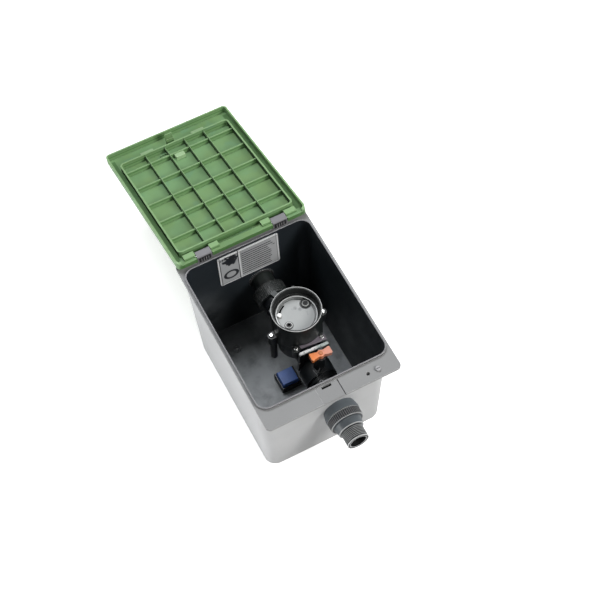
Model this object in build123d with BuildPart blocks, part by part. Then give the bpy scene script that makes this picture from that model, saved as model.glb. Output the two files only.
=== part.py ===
from build123d import *
import os
from math import atan2, cos, radians, sin

# Irrigation valve box: an open tub with a folding lid, a diaphragm valve and a shut-off ball valve in line.
# Millimetres. X is the width, Y runs from the outlet (front, negative) to the hinge (back), Z is up.
# The origin is the middle of the tub's underside.

os.makedirs("parts", exist_ok=True)

# Tub and flange
TUB_W = 201.0
TUB_D = 250.0
TUB_H = 195.0
WALL = 3.0
FLOOR = 3.0
CORNER_R = 18.0
TAPER_X = 8.5
TAPER_Y = 6.0
FLANGE_T = 4.0
FLANGE_FRONT = 26.5
FLANGE_BACK = 15.5
FLANGE_SIDE = 2.0
FLANGE_R = 7.0
LIP_T = 1.6
LIP_H = 4.0

# Line of the pipes and the valve
PIPE_X = 18.5
PIPE_Z = 97.0
PIPE_BORE = 12.3
FIT = 0.05
CLEAR = 0.3

# One-inch pipe thread (G1)
THREAD_CREST = 16.62
THREAD_DEPTH = 1.48
THREAD_PITCH = 2.309
THREAD_FLAT = 0.23
THREAD_TURNS = 7
THREAD_NECK = 1.2
THREAD_LAND = 1.5

# Lid and hinge
LID_SIDE = 0.5
LID_FRONT_GAP = 0.5
LID_R = 7.0
LID_SKIN = 2.5
LID_GAP = 0.5
LID_SKIRT = 2.5
LID_OPEN = 197.0
LID_EDGE_R = 2.0
PIN_ABOVE_FLANGE = 9.0
PIN_TO_BACK_EDGE = 7.0
PIN_R = 2.5
PIN_CHAMFER = 0.4
PIN_OVERLAP = 13.0
SKIN_ABOVE_PIN = 5.0
HINGE_SWING_R = 8.6
HOOK_FROM_SIDE = 43.0
HOOK_W = 22.0
HOOK_FRONT = 6.0
HOOK_BACK = 6.0
HOOK_ROUND = 2.0
NOTCH_GAP = 0.9
NOTCH_S = 9.0
SEAT_OUT = 17.0
SEAT_IN = 14.0
SEAT_FRONT = 8.0
SEAT_BACK = 2.0
SEAT_BELOW = 6.0
HINGE_BAR_FRONT = 3.7
HINGE_BAR_BELOW = 2.3
RIB_T = 2.0
RIB_H = 8.0
RIB_LONG_STEP = 32.6
RIB_LONG_COUNT = 4
RIB_CROSS_FIRST = 50.0
RIB_CROSS_LAST_GAP = 23.3
RIB_CROSS_COUNT = 5
INNER_SIDE_GAP = 6.5
INNER_BACK_GAP = 1.0
INNER_FRONT_GAP = 4.2
INNER_WALL_T = 2.5
INNER_WALL_H = 11.0

# Latch and lock screw on the front flange
LATCH_X = -1.0
LATCH_W = 34.0
LATCH_RECESS = 2.0
LATCH_SIDE_GAP = 1.4
LATCH_LIP_GAP = 1.0
LATCH_SLOT_X = -2.4
LATCH_SLOT_W = 14.4
LATCH_SLOT_L = 4.0
LATCH_SLOT_IN = 22.7
CATCH_W = 12.0
CATCH_T = 1.6
CATCH_ROOT_T = 4.0
CATCH_REACH = 9.0
LOCK_HOLE_FROM_SIDE = 46.4
LOCK_SCREW_FROM_SIDE = 31.1
LOCK_Y_IN = 12.6
LOCK_HOLE_R = 2.75
LOCK_HOLE_END = 1.5
LOCK_SCREW_R = 2.0
LOCK_HEAD_R = 4.0
LOCK_HEAD_H = 3.0
LOCK_HEAD_CHAMFER = 0.5
LOCK_SCREW_L = 10.0
LOCK_BOSS_R = 4.8
LOCK_BOSS_H = 8.0
DRIVE_W = 1.2
DRIVE_DEPTH = 1.2

# Plate on the back wall
LABEL_W = 96.0
LABEL_H = 70.0
LABEL_T = 1.0
LABEL_X = 3.0
LABEL_TOP_DROP = 2.0
LABEL_R = 3.0
LABEL_NOTCH_GAP = 0.5

# Wall holes and pads
WALL_HOLE_R = 19.6
PAD_OUT_R = 24.0
PAD_IN_R = 27.0
PAD_OUT_T = 0.8
PAD_IN_T = 1.0
BACK_HOLE_R = 18.6
BACK_PAD_OUT_R = 23.5
BACK_PAD_IN_R = 19.9
BACK_PAD_IN_T = 0.7

# Diaphragm valve
SPLIT_Z = 140.0
BOWL_R = 36.0
BOWL_BEVEL = 4.0
BOWL_FOOT_R = 30.0
BODY_TUBE_R = 17.0
LUG_AT = 41.0
LUG_R = 5.5
LUG_COUNT = 6
LUG_BELOW = 12.0
LUG_ABOVE = 6.0
SCREW_R = 2.0
SCREW_HEAD_R = 3.4
SCREW_HEAD_H = 2.6
SCREW_HEAD_ROUND = 1.2
SCREW_IN_BODY = 8.0
CHAMBER_R = 31.0
CHAMBER_FLOOR_Z = 129.0
RIM_R = 34.0
MEMBRANE_T = 2.0
SEAT_R = 11.5
SEAT_WALL = 2.5
SEAT_DROP = 3.5
INLET_PORT_R = 6.5
INLET_PORT_Y = 22.5
INLET_BORE_END_Y = 15.2
COLUMN_X = -39.0
COLUMN_R = 5.0
COLUMN_END_Z = 82.0
INLET_END_Y = 86.0
INLET_THREAD_R = 18.5
INLET_THREAD_L = 20.0
INLET_RING_R = 20.0
INLET_RING_L = 4.0
SPIGOT_END_Y = 47.4
SPIGOT_GROOVE = 1.4

# Diaphragm, plate and spring
DIAPHRAGM_LIFT = 5.0
DIAPHRAGM_BOSS_R = 15.5
DIAPHRAGM_ARCH_IN = 21.0
DIAPHRAGM_ARCH_OUT = 29.0
DIAPHRAGM_ARCH_H = 3.0
PLATE_R = 19.0
PLATE_T = 2.5
GUIDE_R = 3.0
GUIDE_BOSS_R = 5.5
GUIDE_BOSS_H = 6.0
GUIDE_HOLE_TOP = 1.5
SPRING_IN_R = 6.5
SPRING_OUT_R = 8.5

# Bonnet and its cup
CUP_R = 36.0
CUP_WALL = 2.5
CUP_TOP_Z = 188.0
CUP_STEP_Z = 174.0
CUP_FLOOR_Z = 166.0
CUP_FLOOR_T = 5.0
CONTROL_R = 29.5
CONTROL_TOP_R = 22.0
CONTROL_SIDE_H = 10.0
ARC_SLOT_R = 31.4
ARC_SLOT_W = 2.0
ARC_SLOT_DEPTH = 4.0
ARC_SLOTS = ((83.0, 29.0), (-64.0, 64.0))
TAB_ANGLE = 111.4
TAB_W = 8.0
TAB_REACH = 9.0
TAB_H = 7.0
TAB_DROP = 3.0
BUMP_ANGLE = 69.8
BUMP_W = 4.0
BUMP_REACH = 3.5

# Contact disc, manual lever, pilot and contact
DISC_R = 29.5
DISC_INNER_R = 28.0
DISC_TOP = 3.5
DISC_PLATE = 1.5
DISC_SEAT_R = 26.0
KNOB_R = 3.3
KNOB_H = 3.5
KNOB_ROUND = 0.8
KNOB_AT = 24.4
KNOB_ANGLE = 154.3
KNOB_SWING = 40.0
KNOB_STEM_R = 1.3
LEVER_ARM_T = 1.2
LEVER_ARM_W = 2.6
LEVER_HUB_R = 4.5
PIVOT_R = 2.0
PORT_X = 19.6
PORT_Y = 11.3
PORT_R = 5.0
PORT_H = 5.5
PORT_CHAMFER = 0.8
PLUNGER_R = 3.0
PLUNGER_L = 7.0
PLUNGER_POCKET = 4.0
PLUNGER_ROUND = 1.0
PLUNGER_SPRING_H = 3.0
PLUNGER_SPRING_R = 2.6
PLUNGER_SPRING_T = 0.8
CONTACT_X = -16.8
CONTACT_Y = -9.3
CONTACT_R = 5.0
CONTACT_H = 5.0
CONTACT_HOLE_R = 2.75
CONTACT_HOLE_D = 4.0

# Shut-off ball valve
BALL_Y = -62.0
BALL_R = 15.0
BALL_BORE = 10.0
BALL_CAVITY_R = 16.2
BALL_SLOT_FLOOR = 1.3
SHUTOFF_R = 24.0
SHUTOFF_HALF = 12.0
SHUTOFF_NECK_R = 21.0
SHUTOFF_ROLL = 5.0
CAVITY_END = 14.5
SEAT_RING_FROM = 8.5
WEB_T = 3.5
SOCKET_R = 20.0
SOCKET_GAP = 2.0
SOCKET_MOUTH_Y = -39.5
NECK_R = 8.0
NECK_TOP_UP = 51.5
STEM_R = 4.0
STEM_COLLAR_R = 6.0
STEM_COLLAR_H = 3.4
STEM_TONGUE_W = 4.0
STEM_TONGUE_L = 10.0
STEM_SQUARE = 5.6
STEM_SQUARE_H = 5.5
STEM_RING_DOWN = 6.5
RING_SECTION = 0.45
LEVER_L = 32.0
LEVER_LOBE = 12.5
LEVER_WAIST = 6.0
LEVER_T = 7.0
LEVER_ROUND = 1.5
LEVER_HUB = 5.4
LEVER_SCREW_R = 1.5
LEVER_SCREW_L = 8.0
LEVER_SCREW_HEAD_R = 2.8
LEVER_SCREW_HEAD_H = 1.6
LEVER_SCREW_ROUND = 0.6

# U clip of the joint between the two valves
CLIP_Y = -41.6
CLIP_T = 4.0
CLIP_HALF_W = 23.3
CLIP_TOP_UP = 44.5
CLIP_BAR_H = 5.0
CLIP_LEG_END = 1.0
CLIP_R = 3.0

# Telescopic outlet
SLEEVE_R = 16.8
SLEEVE_GAP = 2.0
SLEEVE_RING_FIRST = 4.0
SLEEVE_RING_STEP = 5.5
SLEEVE_RING_R = 1.2
COLLAR_NECK_R = 19.4
COLLAR_PROUD = 1.0
COLLAR_BASE_R = 23.5
COLLAR_R = 26.0
COLLAR_L = 13.9
COLLAR_LAND = 2.7
COLLAR_SWELL = 0.7
COLLAR_NOSE_R = 21.3
COLLAR_NOSE_L = 8.5
WASHER_T = 1.5
RING_NUT_T = 6.0
RING_NUT_R = 26.0
RING_NUT_SIDES = 8
NUT_R = 25.2
NUT_L = 13.0
NUT_RIBS = 52
NUT_RIB_W = 1.6
NUT_RIB_H = 0.9
NUT_LIP = 3.2
NUT_GAP = 0.4
HEAD_R = 21.0
HEAD_END_R = 19.35
HEAD_L = 11.2
HEAD_GAP = 0.4
# Inlet line
TAIL_R = 16.6
TAIL_FLANGE_R = 18.3
TAIL_FLANGE_T = 3.7
GASKET_T = 1.5
INLET_NUT_R = 24.6
INLET_NUT_L = 20.0
INLET_NUT_LIP = 3.5
TAIL_OUT = 22.3
GROMMET_R = 22.5
GROMMET_T = 1.5
GROMMET_IN_R = 19.4
GROMMET_IN_T = 1.0

# Floor drain and fixing holes
DRAIN_X = -6.0
DRAIN_Y = -8.0
DRAIN_W = 32.0
DRAIN_D = 30.0
DRAIN_H = 11.0
DRAIN_WALL = 2.4
DRAIN_HOLE_R = 3.2
DRAIN_HOLE_STEP = 8.0
DRAIN_R = 1.5
DRAIN_BEVEL = 1.0
FILTER_T = 1.5
FILTER_HOLE = 2.6
FILTER_STEP = 4.0
FILTER_NX = 6
FILTER_NY = 5
CAP_WALL = 1.6
CAP_TOP_Z = 21.0
CAP_TOP_W = 24.5
CAP_TOP_D = 23.0
CAP_SHOULDER = 10.5
CAP_ROUND = 1.0
FIX_FROM_SIDE = 43.3
FIX_FROM_END = 42.0
FIX_HOLE_R = 2.75
FIX_RING_R = 6.0
FIX_RING_H = 2.0

# Sizes that follow from the ones above
BASE_W = TUB_W - 2 * TAPER_X
BASE_D = TUB_D - 2 * TAPER_Y
OPEN_W = TUB_W - 2 * WALL
OPEN_D = TUB_D - 2 * WALL
INNER_R = CORNER_R - WALL
FRONT_EDGE_Y = -TUB_D / 2 - FLANGE_FRONT
BACK_EDGE_Y = TUB_D / 2 + FLANGE_BACK
FLANGE_W = TUB_W + 2 * FLANGE_SIDE
FLANGE_MID_Y = (FRONT_EDGE_Y + BACK_EDGE_Y) / 2
PIN_Y = BACK_EDGE_Y - PIN_TO_BACK_EDGE
PIN_Z = TUB_H + PIN_ABOVE_FLANGE
LATCH_SLOT_Y = FRONT_EDGE_Y + LATCH_SLOT_IN
LID_W = FLANGE_W - 2 * LID_SIDE
LID_FAR = FRONT_EDGE_Y + LID_FRONT_GAP - PIN_Y
LID_RIM = LID_GAP - PIN_ABOVE_FLANGE
LID_UNDER = SKIN_ABOVE_PIN - LID_SKIN
FIX_X = BASE_W / 2 - FIX_FROM_SIDE
FIX_Y = BASE_D / 2 - FIX_FROM_END
HOOK_X = FLANGE_W / 2 - HOOK_FROM_SIDE
LOCK_HOLE_X = FLANGE_W / 2 - LOCK_HOLE_FROM_SIDE
LOCK_SCREW_X = FLANGE_W / 2 - LOCK_SCREW_FROM_SIDE
INNER_WALL_X = OPEN_W / 2 - INNER_SIDE_GAP
INNER_BACK_S = PIN_Y - OPEN_D / 2 + INNER_BACK_GAP


def half_width(z):
    return TUB_W / 2 - TAPER_X * (1 - z / TUB_H)


def half_depth(z):
    return TUB_D / 2 - TAPER_Y * (1 - z / TUB_H)


# Flat faces of the wall pads, where the pipes pass
FRONT_OUT_Y = -half_depth(PIPE_Z) - PAD_OUT_T
FRONT_IN_Y = -half_depth(PIPE_Z) + WALL + PAD_IN_T
BACK_OUT_Y = half_depth(PIPE_Z) + PAD_OUT_T
BACK_IN_Y = half_depth(PIPE_Z) - WALL - BACK_PAD_IN_T
COLLAR_IN_Y = FRONT_IN_Y + WASHER_T + RING_NUT_T + COLLAR_PROUD
SOCKET_END_Y = COLLAR_IN_Y + SOCKET_GAP
SLEEVE_IN_Y = BALL_Y - CAVITY_END - WEB_T - SLEEVE_GAP
TAIL_NECK_END_Y = BACK_OUT_Y + TAIL_OUT

THREAD_L = THREAD_TURNS * THREAD_PITCH + 2 * THREAD_NECK + THREAD_LAND

PIPE_AXIS = Axis((PIPE_X, 0, PIPE_Z), (0, 1, 0))
VALVE_AXIS = Axis((PIPE_X, 0, 0), (0, 0, 1))

# Sections along the pipe line (Y across the sketch, radius up) and through the valve (X across, Z up)
along_pipe = Plane(origin=(PIPE_X, 0, PIPE_Z), x_dir=(0, 1, 0), z_dir=(1, 0, 0))
through_valve = Plane(origin=(PIPE_X, 0, 0), x_dir=(1, 0, 0), z_dir=(0, -1, 0))


def across_pipe(y):
    """Plane square to the pipe line at y, facing the outlet."""
    return Plane(origin=(PIPE_X, y, PIPE_Z), x_dir=(1, 0, 0), z_dir=(0, -1, 0))


def valve_level(z):
    """Level plane centred on the valve's axis."""
    return Plane(origin=(PIPE_X, 0, z))


roll = radians(SHUTOFF_ROLL)
roll_across = (cos(roll), 0, -sin(roll))
roll_up = (sin(roll), 0, cos(roll))


def shutoff_level(up):
    """Plane square to the shut-off valve's stem, at a height above the pipe line."""
    origin = (PIPE_X + up * sin(roll), BALL_Y, PIPE_Z + up * cos(roll))
    return Plane(origin=origin, x_dir=roll_across, z_dir=roll_up)


def across_shutoff(y):
    """Plane square to the pipe line at y, facing the outlet and rolled with the shut-off valve."""
    return Plane(origin=(PIPE_X, y, PIPE_Z), x_dir=roll_across, z_dir=(0, -1, 0))


def thread(start_y, way):
    """Outer outline of a threaded pipe end with a plain land, from start_y along Y by way, 1 or -1."""
    root = THREAD_CREST - THREAD_DEPTH
    first = start_y + way * THREAD_NECK
    points = [(start_y, root), (first, root)]
    for turn in range(THREAD_TURNS):
        y = first + way * turn * THREAD_PITCH
        points.append((y + way * (THREAD_PITCH - THREAD_FLAT) / 2, THREAD_CREST))
        points.append((y + way * (THREAD_PITCH + THREAD_FLAT) / 2, THREAD_CREST))
        points.append((y + way * THREAD_PITCH, root))
    land_y = first + way * (THREAD_TURNS * THREAD_PITCH + THREAD_NECK)
    return points + [(land_y, root), (land_y, THREAD_CREST), (start_y + way * THREAD_L, THREAD_CREST)]


def keep(builder, name):
    """Name a finished piece and write it."""
    builder.part.label = name
    export_step(builder.part, "parts/" + name + ".step")


# The tub, its flange and lip, hinge hooks, wall pads, floor rings and latch recess
with BuildPart() as box_body:
    with BuildSketch(Plane.XY):
        RectangleRounded(BASE_W, BASE_D, CORNER_R)
    with BuildSketch(Plane.XY.offset(TUB_H)):
        RectangleRounded(TUB_W, TUB_D, CORNER_R)
    loft()
    with BuildSketch(Plane.XY.offset(TUB_H)):
        with Locations((0, FLANGE_MID_Y)):
            RectangleRounded(FLANGE_W, BACK_EDGE_Y - FRONT_EDGE_Y, FLANGE_R)
    extrude(amount=-FLANGE_T)
    with BuildSketch(Plane.XY.offset(TUB_H)):
        RectangleRounded(OPEN_W + 2 * LIP_T, OPEN_D + 2 * LIP_T, INNER_R + LIP_T)
    extrude(amount=LIP_H)
    # Inside
    with BuildSketch(Plane.XY.offset(FLOOR)):
        RectangleRounded(2 * half_width(FLOOR) - 2 * WALL, 2 * half_depth(FLOOR) - 2 * WALL, INNER_R)
    with BuildSketch(Plane.XY.offset(TUB_H)):
        RectangleRounded(OPEN_W, OPEN_D, INNER_R)
    loft(mode=Mode.SUBTRACT)
    with BuildSketch(Plane.XY.offset(TUB_H)):
        RectangleRounded(OPEN_W, OPEN_D, INNER_R)
    extrude(amount=LIP_H, mode=Mode.SUBTRACT)
    # Pads that are square to the pipe, and the holes through them
    with BuildSketch(across_pipe(FRONT_IN_Y)):
        Circle(PAD_IN_R)
    extrude(amount=PAD_IN_T + WALL / 2)
    with BuildSketch(across_pipe(FRONT_OUT_Y)):
        Circle(PAD_OUT_R)
    extrude(amount=-PAD_OUT_T - WALL / 2)
    with BuildSketch(across_pipe(BACK_OUT_Y)):
        Circle(BACK_PAD_OUT_R)
    extrude(amount=PAD_OUT_T + WALL / 2)
    with BuildSketch(across_pipe(BACK_IN_Y)):
        Circle(BACK_PAD_IN_R)
    extrude(amount=-BACK_PAD_IN_T - WALL / 2)
    with BuildSketch(across_pipe(FRONT_IN_Y)):
        Circle(WALL_HOLE_R)
    extrude(amount=FRONT_IN_Y - FRONT_OUT_Y, mode=Mode.SUBTRACT)
    with BuildSketch(across_pipe(BACK_OUT_Y)):
        Circle(BACK_HOLE_R)
    extrude(amount=BACK_OUT_Y - BACK_IN_Y, mode=Mode.SUBTRACT)
    # Hinge hooks
    with BuildSketch(Plane.XY.offset(TUB_H - FLANGE_T)):
        with Locations((-HOOK_X, PIN_Y), (HOOK_X, PIN_Y)):
            Rectangle(HOOK_W, HOOK_FRONT + HOOK_BACK)
    extrude(amount=FLANGE_T + PIN_ABOVE_FLANGE + SKIN_ABOVE_PIN)
    fillet(box_body.faces().group_by(Axis.Z)[-1].edges().filter_by(Axis.X), HOOK_ROUND)
    with BuildSketch(Plane.YZ):
        with Locations((PIN_Y, PIN_Z)):
            Circle(PIN_R + FIT)
    extrude(amount=HOOK_X + HOOK_W, both=True, mode=Mode.SUBTRACT)
    # Latch recess and slot, blind lock hole, and the hole of the lock screw
    with BuildSketch(Plane.XY.offset(TUB_H)):
        with Locations((LATCH_X, FRONT_EDGE_Y)):
            Rectangle(LATCH_W, FLANGE_FRONT - LATCH_LIP_GAP, align=(Align.CENTER, Align.MIN))
    extrude(amount=-LATCH_RECESS, mode=Mode.SUBTRACT)
    with BuildSketch(Plane.XY.offset(TUB_H)):
        with Locations((LATCH_SLOT_X, LATCH_SLOT_Y)):
            Rectangle(LATCH_SLOT_W, LATCH_SLOT_L)
    extrude(amount=-FLANGE_T, mode=Mode.SUBTRACT)
    with BuildSketch(Plane.XY.offset(TUB_H - FLANGE_T)):
        with Locations((LOCK_HOLE_X, FRONT_EDGE_Y + LOCK_Y_IN), (LOCK_SCREW_X, FRONT_EDGE_Y + LOCK_Y_IN)):
            Circle(LOCK_BOSS_R)
    extrude(amount=-LOCK_BOSS_H)
    with BuildSketch(Plane.XY.offset(TUB_H)):
        with Locations((LOCK_HOLE_X, FRONT_EDGE_Y + LOCK_Y_IN)):
            Circle(LOCK_HOLE_R)
    extrude(amount=LOCK_HOLE_END - FLANGE_T - LOCK_BOSS_H, mode=Mode.SUBTRACT)
    with BuildSketch(Plane.XY.offset(TUB_H)):
        with Locations((LOCK_SCREW_X, FRONT_EDGE_Y + LOCK_Y_IN)):
            Circle(LOCK_SCREW_R + FIT)
    extrude(amount=-FLANGE_T - LOCK_BOSS_H, mode=Mode.SUBTRACT)
    # Fixing holes with raised rings, and the drain holes
    with BuildSketch(Plane.XY.offset(FLOOR)):
        with GridLocations(2 * FIX_X, 2 * FIX_Y, 2, 2):
            Circle(FIX_RING_R)
    extrude(amount=FIX_RING_H)
    with BuildSketch(Plane.XY):
        with GridLocations(2 * FIX_X, 2 * FIX_Y, 2, 2):
            Circle(FIX_HOLE_R)
    extrude(amount=FLOOR + FIX_RING_H, mode=Mode.SUBTRACT)
    with BuildSketch(Plane.XY):
        with Locations((DRAIN_X, DRAIN_Y)):
            with GridLocations(DRAIN_HOLE_STEP, DRAIN_HOLE_STEP, 2, 2):
                Circle(DRAIN_HOLE_R)
    extrude(amount=FLOOR, mode=Mode.SUBTRACT)
keep(box_body, "box_body")

# Lid, built in its open position: x across, y back from the pin, z out of the outer skin
lid_turn = radians(LID_OPEN)
lid_plane = Plane(origin=(0, PIN_Y, PIN_Z), x_dir=(1, 0, 0), z_dir=(0, sin(lid_turn), cos(lid_turn)))
lid_side = Plane(origin=(0, PIN_Y, PIN_Z), x_dir=lid_plane.y_dir, z_dir=(1, 0, 0))
lid_mid = (PIN_TO_BACK_EDGE + LID_FAR) / 2
lid_depth = PIN_TO_BACK_EDGE - LID_FAR
inner_far = -OPEN_D / 2 - PIN_Y + INNER_FRONT_GAP
rib_step = (-inner_far - RIB_CROSS_LAST_GAP - RIB_CROSS_FIRST) / (RIB_CROSS_COUNT - 1)
catch_y = LATCH_SLOT_Y - PIN_Y
hook_gap = HOOK_W / 2 + NOTCH_GAP
with BuildPart() as lid:
    with BuildSketch(lid_plane.offset(LID_RIM)):
        with Locations((0, lid_mid)):
            RectangleRounded(LID_W, lid_depth, LID_R)
    extrude(amount=SKIN_ABOVE_PIN - LID_RIM)
    fillet(lid.faces().sort_by(Axis((0, PIN_Y, PIN_Z), lid_plane.z_dir))[-1].edges(), LID_EDGE_R)
    with BuildSketch(lid_plane.offset(LID_RIM)):
        with Locations((0, lid_mid)):
            RectangleRounded(LID_W - 2 * LID_SKIRT, lid_depth - 2 * LID_SKIRT, LID_R - LID_SKIRT)
    extrude(amount=LID_UNDER - LID_RIM, mode=Mode.SUBTRACT)
    # Inner wall that drops into the opening, and the stiffening ribs
    with BuildSketch(lid_plane.offset(LID_UNDER - INNER_WALL_H)):
        with Locations((0, (inner_far - INNER_BACK_S) / 2)):
            RectangleRounded(2 * INNER_WALL_X, -INNER_BACK_S - inner_far, LID_R)
            RectangleRounded(2 * INNER_WALL_X - 2 * INNER_WALL_T,
                             -INNER_BACK_S - inner_far - 2 * INNER_WALL_T, LID_R - INNER_WALL_T,
                             mode=Mode.SUBTRACT)
    extrude(amount=INNER_WALL_H)
    with BuildSketch(lid_plane.offset(LID_UNDER - RIB_H)):
        with Locations((0, (inner_far - INNER_BACK_S) / 2)):
            with GridLocations(RIB_LONG_STEP, RIB_LONG_STEP, RIB_LONG_COUNT, 1):
                Rectangle(RIB_T, -INNER_BACK_S - inner_far - INNER_WALL_T)
        for rib in range(RIB_CROSS_COUNT):
            with Locations((0, -RIB_CROSS_FIRST - rib * rib_step)):
                Rectangle(2 * INNER_WALL_X - INNER_WALL_T, RIB_T)
    extrude(amount=RIB_H)
    # Low bar along the hinge edge in place of the skirt, and on it the seats of the hinge pins
    with BuildSketch(lid_plane.offset(LID_RIM)):
        with Locations((0, PIN_TO_BACK_EDGE)):
            Rectangle(LID_W - 2 * LID_R, 2 * (PIN_TO_BACK_EDGE + HINGE_BAR_FRONT))
    extrude(amount=-LID_RIM - HINGE_BAR_BELOW, mode=Mode.SUBTRACT)
    with BuildSketch(lid_plane.offset(-HINGE_BAR_BELOW)):
        with Locations((0, (PIN_TO_BACK_EDGE - HINGE_BAR_FRONT) / 2)):
            Rectangle(LID_W - 2 * LID_R, PIN_TO_BACK_EDGE + HINGE_BAR_FRONT)
    extrude(amount=HINGE_BAR_BELOW + LID_UNDER)
    with BuildSketch(lid_plane.offset(-SEAT_BELOW)):
        for side in (-1, 1):
            seat_from = HOOK_X - hook_gap - SEAT_IN
            seat_to = HOOK_X + hook_gap + SEAT_OUT
            with Locations((side * (seat_from + seat_to) / 2, (SEAT_BACK - SEAT_FRONT) / 2)):
                Rectangle(seat_to - seat_from, SEAT_BACK + SEAT_FRONT)
    extrude(amount=SEAT_BELOW + LID_UNDER)
    # Latch catch at the far end
    with BuildSketch(lid_plane.offset(LID_RIM)):
        with Locations((LATCH_SLOT_X, catch_y)):
            Rectangle(CATCH_W, CATCH_ROOT_T)
    extrude(amount=LID_UNDER - LID_RIM)
    with BuildSketch(lid_plane.offset(LID_RIM)):
        with Locations((LATCH_SLOT_X, catch_y)):
            Rectangle(CATCH_W, CATCH_T)
    extrude(amount=-CATCH_REACH)
    # Hinge edge rounded about the pin, notches for the hooks and the bores for the pins
    with BuildSketch(lid_side):
        with Locations((PIN_TO_BACK_EDGE, -PIN_ABOVE_FLANGE)):
            Rectangle(2 * PIN_TO_BACK_EDGE, 2 * PIN_ABOVE_FLANGE)
        Circle(HINGE_SWING_R, mode=Mode.SUBTRACT)
    extrude(amount=LID_W, both=True, mode=Mode.SUBTRACT)
    with BuildSketch(lid_plane.offset(LID_RIM - CLEAR)):
        with Locations((-HOOK_X, 0), (HOOK_X, 0)):
            Rectangle(2 * hook_gap, 2 * NOTCH_S)
    extrude(amount=SKIN_ABOVE_PIN - LID_RIM + 2 * CLEAR, mode=Mode.SUBTRACT)
    for side in (-1, 1):
        with BuildSketch(Plane.YZ.offset(side * (HOOK_X - hook_gap - SEAT_IN))):
            with Locations((PIN_Y, PIN_Z)):
                Circle(PIN_R + FIT)
        extrude(amount=side * (hook_gap + SEAT_IN + HOOK_W / 2 + PIN_OVERLAP + CLEAR), mode=Mode.SUBTRACT)
keep(lid, "lid")

# Hinge pins, pressed into the lid and turning in the hooks
for side, pin_name in ((-1, "lid_hinge_pin_left"), (1, "lid_hinge_pin_right")):
    with BuildPart() as hinge_pin:
        with BuildSketch(Plane.YZ.offset(side * HOOK_X)):
            with Locations((PIN_Y, PIN_Z)):
                Circle(PIN_R)
        extrude(amount=HOOK_W / 2 + PIN_OVERLAP, both=True)
        chamfer(hinge_pin.edges().filter_by(GeomType.CIRCLE), PIN_CHAMFER)
    keep(hinge_pin, pin_name)

# Latch plate, flush in its recess
with BuildPart() as latch_plate:
    with BuildSketch(Plane.XY.offset(TUB_H)):
        with Locations((LATCH_X - LATCH_W / 2 + FIT, FRONT_EDGE_Y)):
            Rectangle(LATCH_W - LATCH_SIDE_GAP - FIT, FLANGE_FRONT - LATCH_LIP_GAP - FIT,
                      align=(Align.MIN, Align.MIN))
        with Locations((LATCH_SLOT_X, LATCH_SLOT_Y)):
            Rectangle(LATCH_SLOT_W, LATCH_SLOT_L, mode=Mode.SUBTRACT)
    extrude(amount=-LATCH_RECESS)
keep(latch_plate, "latch_plate")

# Lock screw, parked in its boss
with BuildPart() as lid_lock_screw:
    with BuildSketch(Plane.XY.offset(TUB_H)):
        with Locations((LOCK_SCREW_X, FRONT_EDGE_Y + LOCK_Y_IN)):
            Circle(LOCK_HEAD_R)
    extrude(amount=LOCK_HEAD_H)
    chamfer(lid_lock_screw.faces().sort_by(Axis.Z)[-1].edges(), LOCK_HEAD_CHAMFER)
    with BuildSketch(Plane.XY.offset(TUB_H)):
        with Locations((LOCK_SCREW_X, FRONT_EDGE_Y + LOCK_Y_IN)):
            Circle(LOCK_SCREW_R)
    extrude(amount=-LOCK_SCREW_L)
    with BuildSketch(Plane.XY.offset(TUB_H + LOCK_HEAD_H)):
        with Locations((LOCK_SCREW_X, FRONT_EDGE_Y + LOCK_Y_IN)):
            Rectangle(2 * LOCK_HEAD_R, DRIVE_W)
    extrude(amount=-DRIVE_DEPTH, mode=Mode.SUBTRACT)
keep(lid_lock_screw, "lid_lock_screw")

# Plate on the back wall, which leans back with the wall's draft
lean = atan2(TAPER_Y, TUB_H)
label_z = TUB_H - LABEL_TOP_DROP - LABEL_H / 2 * cos(lean)
label_plane = Plane(origin=(LABEL_X, half_depth(label_z) - WALL, label_z), x_dir=(1, 0, 0),
                    z_dir=(0, -cos(lean), sin(lean)))
with BuildPart() as back_label:
    with BuildSketch(label_plane):
        RectangleRounded(LABEL_W, LABEL_H, LABEL_R)
        with Locations((PIPE_X - LABEL_X, (PIPE_Z - label_z) / cos(lean))):
            Circle(BACK_PAD_IN_R + LABEL_NOTCH_GAP, mode=Mode.SUBTRACT)
    extrude(amount=LABEL_T)
keep(back_label, "back_label")

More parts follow.
